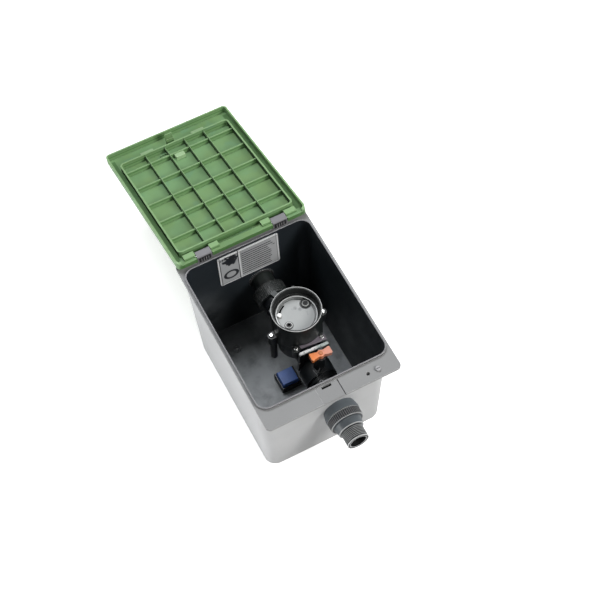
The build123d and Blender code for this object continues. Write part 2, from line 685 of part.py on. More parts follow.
# Diaphragm valve body: pipe ends, bowl with six lugs, seat tube and chamber
chamber_in = SEAT_R + SEAT_WALL
recess_z = SPLIT_Z - MEMBRANE_T
seat_z = SPLIT_Z - SEAT_DROP
groove_from = CLIP_Y - CLIP_T - FIT
groove_to = CLIP_Y + FIT
groove_r = BODY_TUBE_R - SPIGOT_GROOVE
thread_y = INLET_END_Y - INLET_THREAD_L
ring_y = thread_y - INLET_RING_L
with BuildPart() as valve_body:
    with BuildSketch(along_pipe):
        with BuildLine():
            Polyline((-SPIGOT_END_Y, 0), (-SPIGOT_END_Y, BODY_TUBE_R), (groove_from, BODY_TUBE_R),
                     (groove_from, groove_r), (groove_to, groove_r), (groove_to, BODY_TUBE_R),
                     (ring_y, BODY_TUBE_R), (ring_y, INLET_RING_R), (thread_y, INLET_RING_R),
                     (thread_y, INLET_THREAD_R), (INLET_END_Y, INLET_THREAD_R), (INLET_END_Y, 0),
                     close=True)
        make_face()
    revolve(axis=PIPE_AXIS)
    with BuildSketch(through_valve):
        with BuildLine():
            Polyline((0, SPLIT_Z), (BOWL_R, SPLIT_Z), (BOWL_R, SPLIT_Z - LUG_BELOW),
                     (BOWL_R - BOWL_BEVEL, SPLIT_Z - LUG_BELOW - BOWL_BEVEL), (BOWL_FOOT_R, PIPE_Z),
                     (0, PIPE_Z), close=True)
        make_face()
    revolve(axis=VALVE_AXIS)
    with BuildSketch(valve_level(SPLIT_Z)):
        with PolarLocations(LUG_AT, LUG_COUNT):
            Circle(LUG_R)
        with PolarLocations(LUG_AT - LUG_R, LUG_COUNT):
            Rectangle(2 * LUG_R, 2 * LUG_R)
    extrude(amount=-LUG_BELOW)
    with BuildSketch(valve_level(SPLIT_Z - LUG_BELOW)):
        with Locations((COLUMN_X, 0)):
            Circle(COLUMN_R)
    extrude(amount=COLUMN_END_Z + COLUMN_R - SPLIT_Z + LUG_BELOW)
    with Locations((PIPE_X + COLUMN_X, 0, COLUMN_END_Z + COLUMN_R)):
        Sphere(COLUMN_R)
    # Chamber round the seat tube, with the recess for the diaphragm's rim
    with BuildSketch(through_valve):
        with BuildLine():
            Polyline((0, SPLIT_Z), (RIM_R, SPLIT_Z), (RIM_R, recess_z), (CHAMBER_R, recess_z),
                     (CHAMBER_R, CHAMBER_FLOOR_Z), (chamber_in, CHAMBER_FLOOR_Z), (chamber_in, seat_z),
                     (0, seat_z), close=True)
        make_face()
    revolve(axis=VALVE_AXIS, mode=Mode.SUBTRACT)
    with BuildSketch(valve_level(seat_z)):
        Circle(SEAT_R)
    extrude(amount=PIPE_Z - seat_z, mode=Mode.SUBTRACT)
    with BuildSketch(valve_level(PIPE_Z)):
        with Locations((0, INLET_PORT_Y)):
            Circle(INLET_PORT_R)
    extrude(amount=CHAMBER_FLOOR_Z - PIPE_Z, mode=Mode.SUBTRACT)
    with BuildSketch(across_pipe(INLET_END_Y)):
        Circle(PIPE_BORE)
    extrude(amount=INLET_END_Y - INLET_BORE_END_Y, mode=Mode.SUBTRACT)
    with BuildSketch(across_pipe(0)):
        Circle(PIPE_BORE)
    extrude(amount=SPIGOT_END_Y, mode=Mode.SUBTRACT)
    with BuildSketch(valve_level(SPLIT_Z)):
        with PolarLocations(LUG_AT, LUG_COUNT):
            Circle(SCREW_R + FIT)
    extrude(amount=-SCREW_IN_BODY - CLEAR, mode=Mode.SUBTRACT)
keep(valve_body, "valve_body")

# Rubber diaphragm: boss on the seat, rolling arch, and a rim clamped under the bonnet
with BuildPart() as diaphragm:
    with BuildSketch(through_valve):
        arch_mid = (DIAPHRAGM_ARCH_IN + DIAPHRAGM_ARCH_OUT) / 2
        with BuildLine():
            Polyline((DIAPHRAGM_ARCH_IN, SPLIT_Z), (0, SPLIT_Z), (0, seat_z), (DIAPHRAGM_BOSS_R, seat_z),
                     (DIAPHRAGM_BOSS_R, recess_z), (DIAPHRAGM_ARCH_IN, recess_z))
            ThreePointArc((DIAPHRAGM_ARCH_IN, recess_z), (arch_mid, recess_z + DIAPHRAGM_ARCH_H),
                          (DIAPHRAGM_ARCH_OUT, recess_z))
            Polyline((DIAPHRAGM_ARCH_OUT, recess_z), (RIM_R - FIT, recess_z), (RIM_R - FIT, SPLIT_Z),
                     (DIAPHRAGM_ARCH_OUT, SPLIT_Z))
            ThreePointArc((DIAPHRAGM_ARCH_OUT, SPLIT_Z), (arch_mid, SPLIT_Z + DIAPHRAGM_ARCH_H),
                          (DIAPHRAGM_ARCH_IN, SPLIT_Z))
        make_face()
    revolve(axis=VALVE_AXIS)
keep(diaphragm, "diaphragm")

# Stiff plate on the diaphragm, with its guide pin
control_z = CUP_FLOOR_Z - CUP_FLOOR_T
guide_hole_z = CUP_FLOOR_Z - GUIDE_HOLE_TOP
guide_top_z = guide_hole_z - DIAPHRAGM_LIFT - 2 * CLEAR
with BuildPart() as diaphragm_plate:
    with BuildSketch(valve_level(SPLIT_Z)):
        Circle(PLATE_R)
    extrude(amount=PLATE_T)
    with BuildSketch(valve_level(SPLIT_Z)):
        Circle(GUIDE_R)
    extrude(amount=guide_top_z - SPLIT_Z)
    chamfer(diaphragm_plate.faces().sort_by(Axis.Z)[-1].edges(), PIN_CHAMFER)
keep(diaphragm_plate, "diaphragm_plate")

# Closing spring, as a plain sleeve because it is sealed inside
with BuildPart() as diaphragm_spring:
    with BuildSketch(valve_level(SPLIT_Z + PLATE_T)):
        Circle(SPRING_OUT_R)
        Circle(SPRING_IN_R, mode=Mode.SUBTRACT)
    extrude(amount=control_z - SPLIT_Z - PLATE_T)
keep(diaphragm_spring, "diaphragm_spring")

# Bonnet: clamping flange with lugs, control chamber below, cup for the plug-in controller above
with BuildPart() as bonnet:
    with BuildSketch(through_valve):
        with BuildLine():
            Polyline((CONTROL_R, SPLIT_Z), (CUP_R, SPLIT_Z), (CUP_R, CUP_TOP_Z),
                     (CUP_R - CUP_WALL, CUP_TOP_Z), (CUP_R - CUP_WALL, CUP_STEP_Z),
                     (DISC_R + CLEAR, CUP_STEP_Z), (DISC_R + CLEAR, CUP_FLOOR_Z), (0, CUP_FLOOR_Z),
                     (0, guide_hole_z), (GUIDE_R + FIT, guide_hole_z),
                     (GUIDE_R + FIT, control_z - GUIDE_BOSS_H), (GUIDE_BOSS_R, control_z - GUIDE_BOSS_H),
                     (GUIDE_BOSS_R, control_z), (CONTROL_TOP_R, control_z),
                     (CONTROL_R, SPLIT_Z + CONTROL_SIDE_H), close=True)
        make_face()
    revolve(axis=VALVE_AXIS)
    with BuildSketch(valve_level(SPLIT_Z)):
        with PolarLocations(LUG_AT, LUG_COUNT):
            Circle(LUG_R)
        with PolarLocations((CUP_R - CUP_WALL + LUG_AT) / 2, LUG_COUNT):
            Rectangle(LUG_AT - CUP_R + CUP_WALL, 2 * LUG_R)
    extrude(amount=LUG_ABOVE)
    with BuildSketch(valve_level(SPLIT_Z)):
        with PolarLocations(LUG_AT, LUG_COUNT):
            Circle(SCREW_R + FIT)
    extrude(amount=LUG_ABOVE, mode=Mode.SUBTRACT)
    # Tabs on the outside of the cup
    with BuildSketch(valve_level(CUP_TOP_Z - TAB_DROP)):
        with PolarLocations(CUP_R + (TAB_REACH - CUP_WALL) / 2, 1, TAB_ANGLE):
            Rectangle(TAB_REACH + CUP_WALL, TAB_W)
        with PolarLocations(CUP_R + (BUMP_REACH - CUP_WALL) / 2, 1, BUMP_ANGLE):
            Rectangle(BUMP_REACH + CUP_WALL, BUMP_W)
    extrude(amount=-TAB_H)
    with BuildSketch(valve_level(CUP_TOP_Z)):
        Circle(CUP_R - CUP_WALL)
    extrude(amount=CUP_STEP_Z - CUP_TOP_Z, mode=Mode.SUBTRACT)
    # Bayonet slots in the step, and the pilot's pocket
    with BuildSketch(valve_level(CUP_STEP_Z)):
        for slot_start, slot_span in ARC_SLOTS:
            SlotArc(Edge.make_circle(ARC_SLOT_R, start_angle=slot_start, end_angle=slot_start + slot_span),
                    ARC_SLOT_W)
    extrude(amount=-ARC_SLOT_DEPTH, mode=Mode.SUBTRACT)
    with BuildSketch(valve_level(CUP_FLOOR_Z)):
        with Locations((PORT_X, PORT_Y)):
            Circle(PLUNGER_R + CLEAR)
    extrude(amount=-PLUNGER_POCKET, mode=Mode.SUBTRACT)
    with BuildSketch(valve_level(CUP_FLOOR_Z)):
        Circle(PIVOT_R)
    extrude(amount=DISC_TOP - DISC_PLATE - CLEAR)
keep(bonnet, "bonnet")

# Six pan-head screws
with BuildPart() as bonnet_screws:
    with BuildSketch(valve_level(SPLIT_Z + LUG_ABOVE)):
        with PolarLocations(LUG_AT, LUG_COUNT):
            Circle(SCREW_HEAD_R)
    extrude(amount=SCREW_HEAD_H)
    fillet(bonnet_screws.faces().group_by(Axis.Z)[-1].edges(), SCREW_HEAD_ROUND)
    with BuildSketch(valve_level(SPLIT_Z + LUG_ABOVE)):
        with PolarLocations(LUG_AT, LUG_COUNT):
            Circle(SCREW_R)
    extrude(amount=-LUG_ABOVE - SCREW_IN_BODY)
    with BuildSketch(valve_level(SPLIT_Z + LUG_ABOVE + SCREW_HEAD_H)):
        with PolarLocations(LUG_AT, LUG_COUNT):
            Rectangle(SCREW_HEAD_R, DRIVE_W)
            Rectangle(DRIVE_W, SCREW_HEAD_R)
    extrude(amount=-DRIVE_DEPTH, mode=Mode.SUBTRACT)
keep(bonnet_screws, "bonnet_screws")

# Contact disc in the cup, hollow below for the manual lever
disc_top_z = CUP_FLOOR_Z + DISC_TOP
with BuildPart() as socket_disc:
    with BuildSketch(through_valve):
        with BuildLine():
            Polyline((0, disc_top_z - DISC_PLATE), (0, disc_top_z), (DISC_INNER_R, disc_top_z),
                     (DISC_INNER_R, CUP_STEP_Z), (DISC_R, CUP_STEP_Z), (DISC_R, CUP_FLOOR_Z),
                     (DISC_SEAT_R, CUP_FLOOR_Z), (DISC_SEAT_R, disc_top_z - DISC_PLATE), close=True)
        make_face()
    revolve(axis=VALVE_AXIS)
    with BuildSketch(valve_level(CUP_FLOOR_Z)):
        SlotArc(Edge.make_circle(KNOB_AT, start_angle=KNOB_ANGLE - KNOB_SWING, end_angle=KNOB_ANGLE),
                2 * (KNOB_STEM_R + CLEAR))
        with Locations((CONTACT_X, CONTACT_Y)):
            Circle(CONTACT_R + FIT)
        with Locations((PORT_X, PORT_Y)):
            Circle(PORT_R + FIT)
    extrude(amount=DISC_TOP, mode=Mode.SUBTRACT)
keep(socket_disc, "socket_disc")

# Manual lever: hub on the pivot, arm under the disc, white knob above it
arm_z = CUP_FLOOR_Z + CLEAR
with BuildPart() as manual_lever:
    with BuildSketch(valve_level(arm_z)):
        Circle(LEVER_HUB_R)
        with PolarLocations(KNOB_AT / 2, 1, KNOB_ANGLE):
            SlotCenterToCenter(KNOB_AT, LEVER_ARM_W)
        Circle(PIVOT_R + FIT, mode=Mode.SUBTRACT)
    extrude(amount=LEVER_ARM_T)
    with BuildSketch(valve_level(arm_z)):
        with PolarLocations(KNOB_AT, 1, KNOB_ANGLE):
            Circle(KNOB_STEM_R)
    extrude(amount=disc_top_z + CLEAR - arm_z)
    with BuildSketch(valve_level(disc_top_z + CLEAR)):
        with PolarLocations(KNOB_AT, 1, KNOB_ANGLE):
            Circle(KNOB_R)
    extrude(amount=KNOB_H)
    fillet(manual_lever.faces().sort_by(Axis.Z)[-1].edges(), KNOB_ROUND)
keep(manual_lever, "manual_lever")

# Pilot port with its sprung plunger
with BuildPart() as pilot_port:
    with BuildSketch(valve_level(CUP_FLOOR_Z)):
        with Locations((PORT_X, PORT_Y)):
            Circle(PORT_R)
            Circle(PLUNGER_R + FIT, mode=Mode.SUBTRACT)
    extrude(amount=PORT_H)
    chamfer(pilot_port.faces().sort_by(Axis.Z)[-1].edges().sort_by(SortBy.RADIUS)[-1], PORT_CHAMFER)
keep(pilot_port, "pilot_port")

plunger_z = CUP_FLOOR_Z - PLUNGER_POCKET + PLUNGER_SPRING_H
with BuildPart() as pilot_plunger:
    with BuildSketch(valve_level(plunger_z)):
        with Locations((PORT_X, PORT_Y)):
            Circle(PLUNGER_R)
    extrude(amount=PLUNGER_L)
    fillet(pilot_plunger.faces().sort_by(Axis.Z)[-1].edges(), PLUNGER_ROUND)
keep(pilot_plunger, "pilot_plunger")

with BuildPart() as plunger_spring:
    with BuildSketch(valve_level(CUP_FLOOR_Z - PLUNGER_POCKET)):
        with Locations((PORT_X, PORT_Y)):
            Circle(PLUNGER_SPRING_R)
            Circle(PLUNGER_SPRING_R - PLUNGER_SPRING_T, mode=Mode.SUBTRACT)
    extrude(amount=PLUNGER_SPRING_H)
keep(plunger_spring, "plunger_spring")

# Contact socket beside the port
with BuildPart() as contact_socket:
    with BuildSketch(valve_level(CUP_FLOOR_Z)):
        with Locations((CONTACT_X, CONTACT_Y)):
            Circle(CONTACT_R)
    extrude(amount=CONTACT_H)
    with BuildSketch(valve_level(CUP_FLOOR_Z + CONTACT_H)):
        with Locations((CONTACT_X, CONTACT_Y)):
            Circle(CONTACT_HOLE_R)
    extrude(amount=-CONTACT_HOLE_D, mode=Mode.SUBTRACT)
keep(contact_socket, "contact_socket")

# Shut-off valve body: mouth over the spigot, ball cavity, web, and the socket of the sleeve
cavity_from = BALL_Y + CAVITY_END
cavity_to = BALL_Y - CAVITY_END
collar_up = BALL_CAVITY_R + STEM_COLLAR_H
with BuildPart() as ball_valve_body:
    with BuildSketch(along_pipe):
        with BuildLine():
            Polyline((SOCKET_MOUTH_Y, BODY_TUBE_R + FIT), (SOCKET_MOUTH_Y, SHUTOFF_NECK_R),
                     (BALL_Y + SHUTOFF_HALF, SHUTOFF_NECK_R), (BALL_Y + SHUTOFF_HALF, SHUTOFF_R),
                     (BALL_Y - SHUTOFF_HALF, SHUTOFF_R), (BALL_Y - SHUTOFF_HALF, SHUTOFF_NECK_R),
                     (cavity_to - WEB_T, SHUTOFF_NECK_R), (cavity_to - WEB_T, SOCKET_R),
                     (SOCKET_END_Y, SOCKET_R), (SOCKET_END_Y, SLEEVE_R + FIT),
                     (cavity_to - WEB_T, SLEEVE_R + FIT), (cavity_to - WEB_T, PIPE_BORE),
                     (cavity_to, PIPE_BORE), (cavity_to, BALL_CAVITY_R), (cavity_from, BALL_CAVITY_R),
                     (cavity_from, BODY_TUBE_R + FIT), close=True)
        make_face()
    revolve(axis=PIPE_AXIS)
    with BuildSketch(shutoff_level(BALL_CAVITY_R)):
        Circle(NECK_R)
    extrude(amount=NECK_TOP_UP - BALL_CAVITY_R)
    with BuildSketch(shutoff_level(BALL_R)):
        Circle(STEM_COLLAR_R + CLEAR)
    extrude(amount=collar_up - BALL_R, mode=Mode.SUBTRACT)
    with BuildSketch(shutoff_level(collar_up)):
        Circle(STEM_R + FIT)
    extrude(amount=NECK_TOP_UP - collar_up, mode=Mode.SUBTRACT)
    # Slot for the U clip
    with BuildSketch(across_shutoff(CLIP_Y + FIT)):
        with Locations((0, -CLIP_LEG_END - CLEAR)):
            Rectangle(2 * CLIP_HALF_W + 2 * CLEAR, SHUTOFF_R + 2 * CLIP_R, align=(Align.CENTER, Align.MIN))
    extrude(amount=CLIP_T + 2 * FIT, mode=Mode.SUBTRACT)
keep(ball_valve_body, "ball_valve_body")

# Ball, closed across the line, with the stem's slot in its top
with BuildPart() as ball:
    with Locations((PIPE_X, BALL_Y, PIPE_Z)):
        Sphere(BALL_R)
    with BuildSketch(Plane(origin=(PIPE_X, BALL_Y, PIPE_Z), x_dir=(0, 1, 0), z_dir=roll_across)):
        Circle(BALL_BORE)
    extrude(amount=BALL_R, both=True, mode=Mode.SUBTRACT)
    with BuildSketch(shutoff_level(BALL_BORE + BALL_SLOT_FLOOR)):
        Rectangle(STEM_TONGUE_W + 2 * FIT, 2 * BALL_R)
    extrude(amount=BALL_R, mode=Mode.SUBTRACT)
keep(ball, "ball")

# Ball seats, one each side, hollowed to the ball
with BuildPart() as ball_seats:
    for seat_y, seat_way in ((BALL_Y + SEAT_RING_FROM, -1), (BALL_Y - SEAT_RING_FROM, 1)):
        with BuildSketch(across_pipe(seat_y)):
            Circle(BALL_CAVITY_R - FIT)
            Circle(PIPE_BORE, mode=Mode.SUBTRACT)
        extrude(amount=seat_way * (CAVITY_END - SEAT_RING_FROM - FIT))
    with Locations((PIPE_X, BALL_Y, PIPE_Z)):
        Sphere(BALL_R + FIT, mode=Mode.SUBTRACT)
keep(ball_seats, "ball_seats")

# Stem: tongue in the ball, collar under the neck, shaft, and the square for the lever
stem_square_up = NECK_TOP_UP + CLEAR
stem_top_up = stem_square_up + STEM_SQUARE_H
tongue_up = BALL_BORE + BALL_SLOT_FLOOR + FIT
stem_collar_up = collar_up - STEM_COLLAR_H + CLEAR
stem_ring_up = NECK_TOP_UP - STEM_RING_DOWN
with BuildPart() as ball_stem:
    with BuildSketch(shutoff_level(tongue_up)):
        Rectangle(STEM_TONGUE_W, STEM_TONGUE_L)
    extrude(amount=stem_collar_up - tongue_up)
    with BuildSketch(shutoff_level(stem_collar_up)):
        Circle(STEM_COLLAR_R)
    extrude(amount=STEM_COLLAR_H - 2 * CLEAR)
    with BuildSketch(shutoff_level(stem_collar_up)):
        Circle(STEM_R)
    extrude(amount=stem_square_up - stem_collar_up)
    with BuildSketch(shutoff_level(stem_square_up)):
        Rectangle(STEM_SQUARE, STEM_SQUARE)
    extrude(amount=STEM_SQUARE_H)
    with BuildSketch(shutoff_level(stem_ring_up - RING_SECTION)):
        Circle(STEM_R)
        Circle(STEM_R - 2 * RING_SECTION, mode=Mode.SUBTRACT)
    extrude(amount=2 * RING_SECTION, mode=Mode.SUBTRACT)
    with BuildSketch(shutoff_level(stem_top_up)):
        Circle(LEVER_SCREW_R + FIT)
    extrude(amount=-LEVER_SCREW_L, mode=Mode.SUBTRACT)
keep(ball_stem, "ball_stem")

with BuildPart() as stem_o_ring:
    with Locations(shutoff_level(stem_ring_up)):
        Torus(STEM_R - RING_SECTION, RING_SECTION - FIT / 2)
keep(stem_o_ring, "stem_o_ring")

# Bow-tie lever on the stem's square, with its screw
lever_top_up = stem_square_up + LEVER_T
with BuildPart() as shutoff_lever:
    with BuildSketch(shutoff_level(stem_square_up)) as lever_outline:
        with BuildLine():
            Polyline((0, LEVER_WAIST / 2), (LEVER_L / 2, LEVER_LOBE / 2), (LEVER_L / 2, -LEVER_LOBE / 2),
                     (0, -LEVER_WAIST / 2), (-LEVER_L / 2, -LEVER_LOBE / 2), (-LEVER_L / 2, LEVER_LOBE / 2),
                     close=True)
        make_face()
        fillet(lever_outline.vertices(), LEVER_ROUND)
        Circle(LEVER_HUB)
    extrude(amount=LEVER_T)
    with BuildSketch(shutoff_level(stem_square_up)):
        Rectangle(STEM_SQUARE + 2 * FIT, STEM_SQUARE + 2 * FIT)
    extrude(amount=STEM_SQUARE_H + CLEAR, mode=Mode.SUBTRACT)
    with BuildSketch(shutoff_level(lever_top_up)):
        Circle(LEVER_SCREW_R + FIT)
    extrude(amount=-LEVER_T, mode=Mode.SUBTRACT)
keep(shutoff_lever, "shutoff_lever")

with BuildPart() as lever_screw:
    with BuildSketch(shutoff_level(lever_top_up)):
        Circle(LEVER_SCREW_HEAD_R)
    extrude(amount=LEVER_SCREW_HEAD_H)
    fillet(lever_screw.faces().sort_by(Axis((0, 0, 0), roll_up))[-1].edges(), LEVER_SCREW_ROUND)
    with BuildSketch(shutoff_level(lever_top_up)):
        Circle(LEVER_SCREW_R)
    extrude(amount=-LEVER_SCREW_L)
keep(lever_screw, "lever_screw")

# U clip across the mouth of the shut-off valve, in the spigot's groove
clip_bore = BODY_TUBE_R - SPIGOT_GROOVE + 2 * FIT
with BuildPart() as outlet_clip:
    with BuildSketch(across_shutoff(CLIP_Y)) as clip_outline:
        with Locations((0, -CLIP_LEG_END)):
            Rectangle(2 * CLIP_HALF_W, CLIP_TOP_UP + CLIP_LEG_END, align=(Align.CENTER, Align.MIN))
        fillet(clip_outline.vertices().group_by(Axis.Y)[-1], CLIP_R)
        with Locations((0, -CLIP_LEG_END)):
            Rectangle(2 * clip_bore, CLIP_TOP_UP - CLIP_BAR_H + CLIP_LEG_END,
                      align=(Align.CENTER, Align.MIN), mode=Mode.SUBTRACT)
    extrude(amount=CLIP_T)
keep(outlet_clip, "outlet_clip")

# Telescopic sleeve: tube with two ring grooves, tapered head and the outlet thread
collar_end_y = FRONT_OUT_Y - COLLAR_L
nut_start_y = collar_end_y - NUT_GAP
nut_end_y = nut_start_y - NUT_L
head_y = nut_end_y - HEAD_GAP
head_end_y = head_y - HEAD_L
ring_ys = [SLEEVE_IN_Y - SLEEVE_RING_FIRST - ring * SLEEVE_RING_STEP for ring in range(2)]
with BuildPart() as telescopic_sleeve:
    with BuildSketch(along_pipe):
        with BuildLine():
            Polyline([(head_end_y - THREAD_L, PIPE_BORE), (SLEEVE_IN_Y, PIPE_BORE), (SLEEVE_IN_Y, SLEEVE_R),
                      (head_y, SLEEVE_R), (head_y, HEAD_R), (head_end_y, HEAD_END_R)]
                     + thread(head_end_y, -1), close=True)
        make_face()
    revolve(axis=PIPE_AXIS)
    for ring_y in ring_ys:
        with BuildSketch(across_pipe(ring_y + SLEEVE_RING_R)):
            Circle(SLEEVE_R + FIT)
            Circle(SLEEVE_R - 2 * SLEEVE_RING_R, mode=Mode.SUBTRACT)
        extrude(amount=2 * SLEEVE_RING_R, mode=Mode.SUBTRACT)
keep(telescopic_sleeve, "telescopic_sleeve")

with BuildPart() as sleeve_o_rings:
    for ring_y in ring_ys:
        with BuildSketch(along_pipe):
            with Locations((ring_y, SLEEVE_R - SLEEVE_RING_R)):
                Circle(SLEEVE_RING_R - FIT)
        revolve(axis=PIPE_AXIS)
keep(sleeve_o_rings, "sleeve_o_rings")

# Collar through the front wall: neck, shoulder that swells outside, and the threaded nose
nose_end_y = collar_end_y - COLLAR_NOSE_L
swell_r = COLLAR_BASE_R + (COLLAR_R - COLLAR_BASE_R) * COLLAR_SWELL
collar_bore = SLEEVE_R + CLEAR
with BuildPart() as outlet_collar:
    with BuildSketch(along_pipe):
        with BuildLine():
            ThreePointArc((FRONT_OUT_Y, COLLAR_BASE_R),
                          (FRONT_OUT_Y - COLLAR_L / 2, swell_r),
                          (collar_end_y + COLLAR_LAND, COLLAR_R))
            Polyline((collar_end_y + COLLAR_LAND, COLLAR_R), (collar_end_y, COLLAR_R),
                     (collar_end_y, COLLAR_NOSE_R), (nose_end_y, COLLAR_NOSE_R), (nose_end_y, collar_bore),
                     (COLLAR_IN_Y, collar_bore), (COLLAR_IN_Y, COLLAR_NECK_R), (FRONT_OUT_Y, COLLAR_NECK_R),
                     (FRONT_OUT_Y, COLLAR_BASE_R))
        make_face()
    revolve(axis=PIPE_AXIS)
keep(outlet_collar, "outlet_collar")

with BuildPart() as wall_seal_front:
    with BuildSketch(across_pipe(FRONT_IN_Y)):
        Circle(RING_NUT_R - CLEAR)
        Circle(COLLAR_NECK_R + FIT, mode=Mode.SUBTRACT)
    extrude(amount=-WASHER_T)
keep(wall_seal_front, "wall_seal_front")

with BuildPart() as collar_ring_nut:
    with BuildSketch(across_pipe(FRONT_IN_Y + WASHER_T)):
        RegularPolygon(RING_NUT_R, RING_NUT_SIDES, major_radius=False)
        Circle(COLLAR_NECK_R + FIT, mode=Mode.SUBTRACT)
    extrude(amount=-RING_NUT_T)
keep(collar_ring_nut, "collar_ring_nut")

# Gland seal and the ribbed union nut that squeezes it on the sleeve
gland_y = nut_end_y + NUT_LIP + CLEAR
with BuildPart() as gland_seal:
    with BuildSketch(across_pipe(gland_y)):
        Circle(COLLAR_NOSE_R - CLEAR)
        Circle(collar_bore, mode=Mode.SUBTRACT)
    extrude(amount=gland_y - nose_end_y)
keep(gland_seal, "gland_seal")

with BuildPart() as outlet_union_nut:
    with BuildSketch(across_pipe(nut_start_y)):
        Circle(NUT_R - NUT_RIB_H)
        with PolarLocations(NUT_R - NUT_RIB_H, NUT_RIBS):
            Rectangle(2 * NUT_RIB_H, NUT_RIB_W)
        Circle(collar_bore, mode=Mode.SUBTRACT)
    extrude(amount=NUT_L)
    with BuildSketch(across_pipe(nut_start_y)):
        Circle(COLLAR_NOSE_R + CLEAR)
    extrude(amount=NUT_L - NUT_LIP, mode=Mode.SUBTRACT)
keep(outlet_union_nut, "outlet_union_nut")

# Inlet: gasket, threaded tail through the back wall, its grommet and union nut
flange_y = INLET_END_Y + GASKET_T
inlet_nut_end_y = flange_y + TAIL_FLANGE_T + CLEAR + INLET_NUT_LIP
with BuildPart() as inlet_gasket:
    with BuildSketch(across_pipe(INLET_END_Y)):
        Circle(TAIL_FLANGE_R)
        Circle(PIPE_BORE, mode=Mode.SUBTRACT)
    extrude(amount=-GASKET_T)
keep(inlet_gasket, "inlet_gasket")

with BuildPart() as inlet_tail:
    with BuildSketch(along_pipe):
        with BuildLine():
            Polyline([(TAIL_NECK_END_Y + THREAD_L, PIPE_BORE), (flange_y, PIPE_BORE),
                      (flange_y, TAIL_FLANGE_R), (flange_y + TAIL_FLANGE_T, TAIL_FLANGE_R),
                      (flange_y + TAIL_FLANGE_T, TAIL_R),
                      (TAIL_NECK_END_Y, TAIL_R)] + thread(TAIL_NECK_END_Y, 1), close=True)
        make_face()
    revolve(axis=PIPE_AXIS)
keep(inlet_tail, "inlet_tail")

with BuildPart() as wall_seal_back:
    with BuildSketch(along_pipe):
        with BuildLine():
            Polyline((BACK_IN_Y - GROMMET_IN_T, TAIL_R + FIT), (BACK_IN_Y - GROMMET_IN_T, GROMMET_IN_R),
                     (BACK_IN_Y, GROMMET_IN_R), (BACK_IN_Y, BACK_HOLE_R - FIT),
                     (BACK_OUT_Y, BACK_HOLE_R - FIT),
                     (BACK_OUT_Y, GROMMET_R), (BACK_OUT_Y + GROMMET_T, GROMMET_R),
                     (BACK_OUT_Y + GROMMET_T, TAIL_R + FIT), close=True)
        make_face()
    revolve(axis=PIPE_AXIS)
keep(wall_seal_back, "wall_seal_back")

with BuildPart() as inlet_union_nut:
    with BuildSketch(across_pipe(inlet_nut_end_y)):
        Circle(INLET_NUT_R - NUT_RIB_H)
        with PolarLocations(INLET_NUT_R - NUT_RIB_H, NUT_RIBS):
            Rectangle(2 * NUT_RIB_H, NUT_RIB_W)
        Circle(TAIL_R + CLEAR, mode=Mode.SUBTRACT)
    extrude(amount=INLET_NUT_L)
    with BuildSketch(across_pipe(inlet_nut_end_y - INLET_NUT_LIP)):
        Circle(INLET_THREAD_R + CLEAR)
    extrude(amount=INLET_NUT_L, mode=Mode.SUBTRACT)
keep(inlet_union_nut, "inlet_union_nut")

# Floor drain: square frame, strainer plate and tapered cap
drain_plane = Plane(origin=(DRAIN_X, DRAIN_Y, FLOOR))
drain_in_w = DRAIN_W - 2 * DRAIN_WALL
drain_in_d = DRAIN_D - 2 * DRAIN_WALL
with BuildPart() as drain_frame:
    with BuildSketch(drain_plane):
        RectangleRounded(DRAIN_W, DRAIN_D, DRAIN_R)
        Rectangle(drain_in_w, drain_in_d, mode=Mode.SUBTRACT)
    extrude(amount=DRAIN_H)
    chamfer(drain_frame.faces().sort_by(Axis.Z)[-1].outer_wire().edges(), DRAIN_BEVEL)
keep(drain_frame, "drain_frame")

with BuildPart() as drain_filter:
    with BuildSketch(drain_plane):
        Rectangle(drain_in_w - 2 * FIT, drain_in_d - 2 * FIT)
        with GridLocations(FILTER_STEP, FILTER_STEP, FILTER_NX, FILTER_NY):
            Rectangle(FILTER_HOLE, FILTER_HOLE, mode=Mode.SUBTRACT)
    extrude(amount=FILTER_T)
keep(drain_filter, "drain_filter")

cap_z = FLOOR + FILTER_T + CLEAR
with BuildPart() as drain_cap:
    with BuildSketch(Plane(origin=(DRAIN_X, DRAIN_Y, cap_z))):
        Rectangle(drain_in_w - 2 * CLEAR, drain_in_d - 2 * CLEAR)
    extrude(amount=CAP_SHOULDER - FILTER_T - CLEAR)
    with BuildSketch(Plane(origin=(DRAIN_X, DRAIN_Y, FLOOR + CAP_SHOULDER))):
        Rectangle(drain_in_w - 2 * CLEAR, drain_in_d - 2 * CLEAR)
    with BuildSketch(Plane(origin=(DRAIN_X, DRAIN_Y, CAP_TOP_Z))):
        Rectangle(CAP_TOP_W, CAP_TOP_D)
    loft()
    fillet(drain_cap.faces().sort_by(Axis.Z)[-1].edges(), CAP_ROUND)
    with BuildSketch(Plane(origin=(DRAIN_X, DRAIN_Y, cap_z))):
        Rectangle(CAP_TOP_W - 2 * CAP_WALL, CAP_TOP_D - 2 * CAP_WALL)
    extrude(amount=CAP_TOP_Z - CAP_WALL - cap_z, mode=Mode.SUBTRACT)
keep(drain_cap, "drain_cap")
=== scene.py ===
import math

import bmesh
import bpy
from mathutils import Matrix, Quaternion, Vector


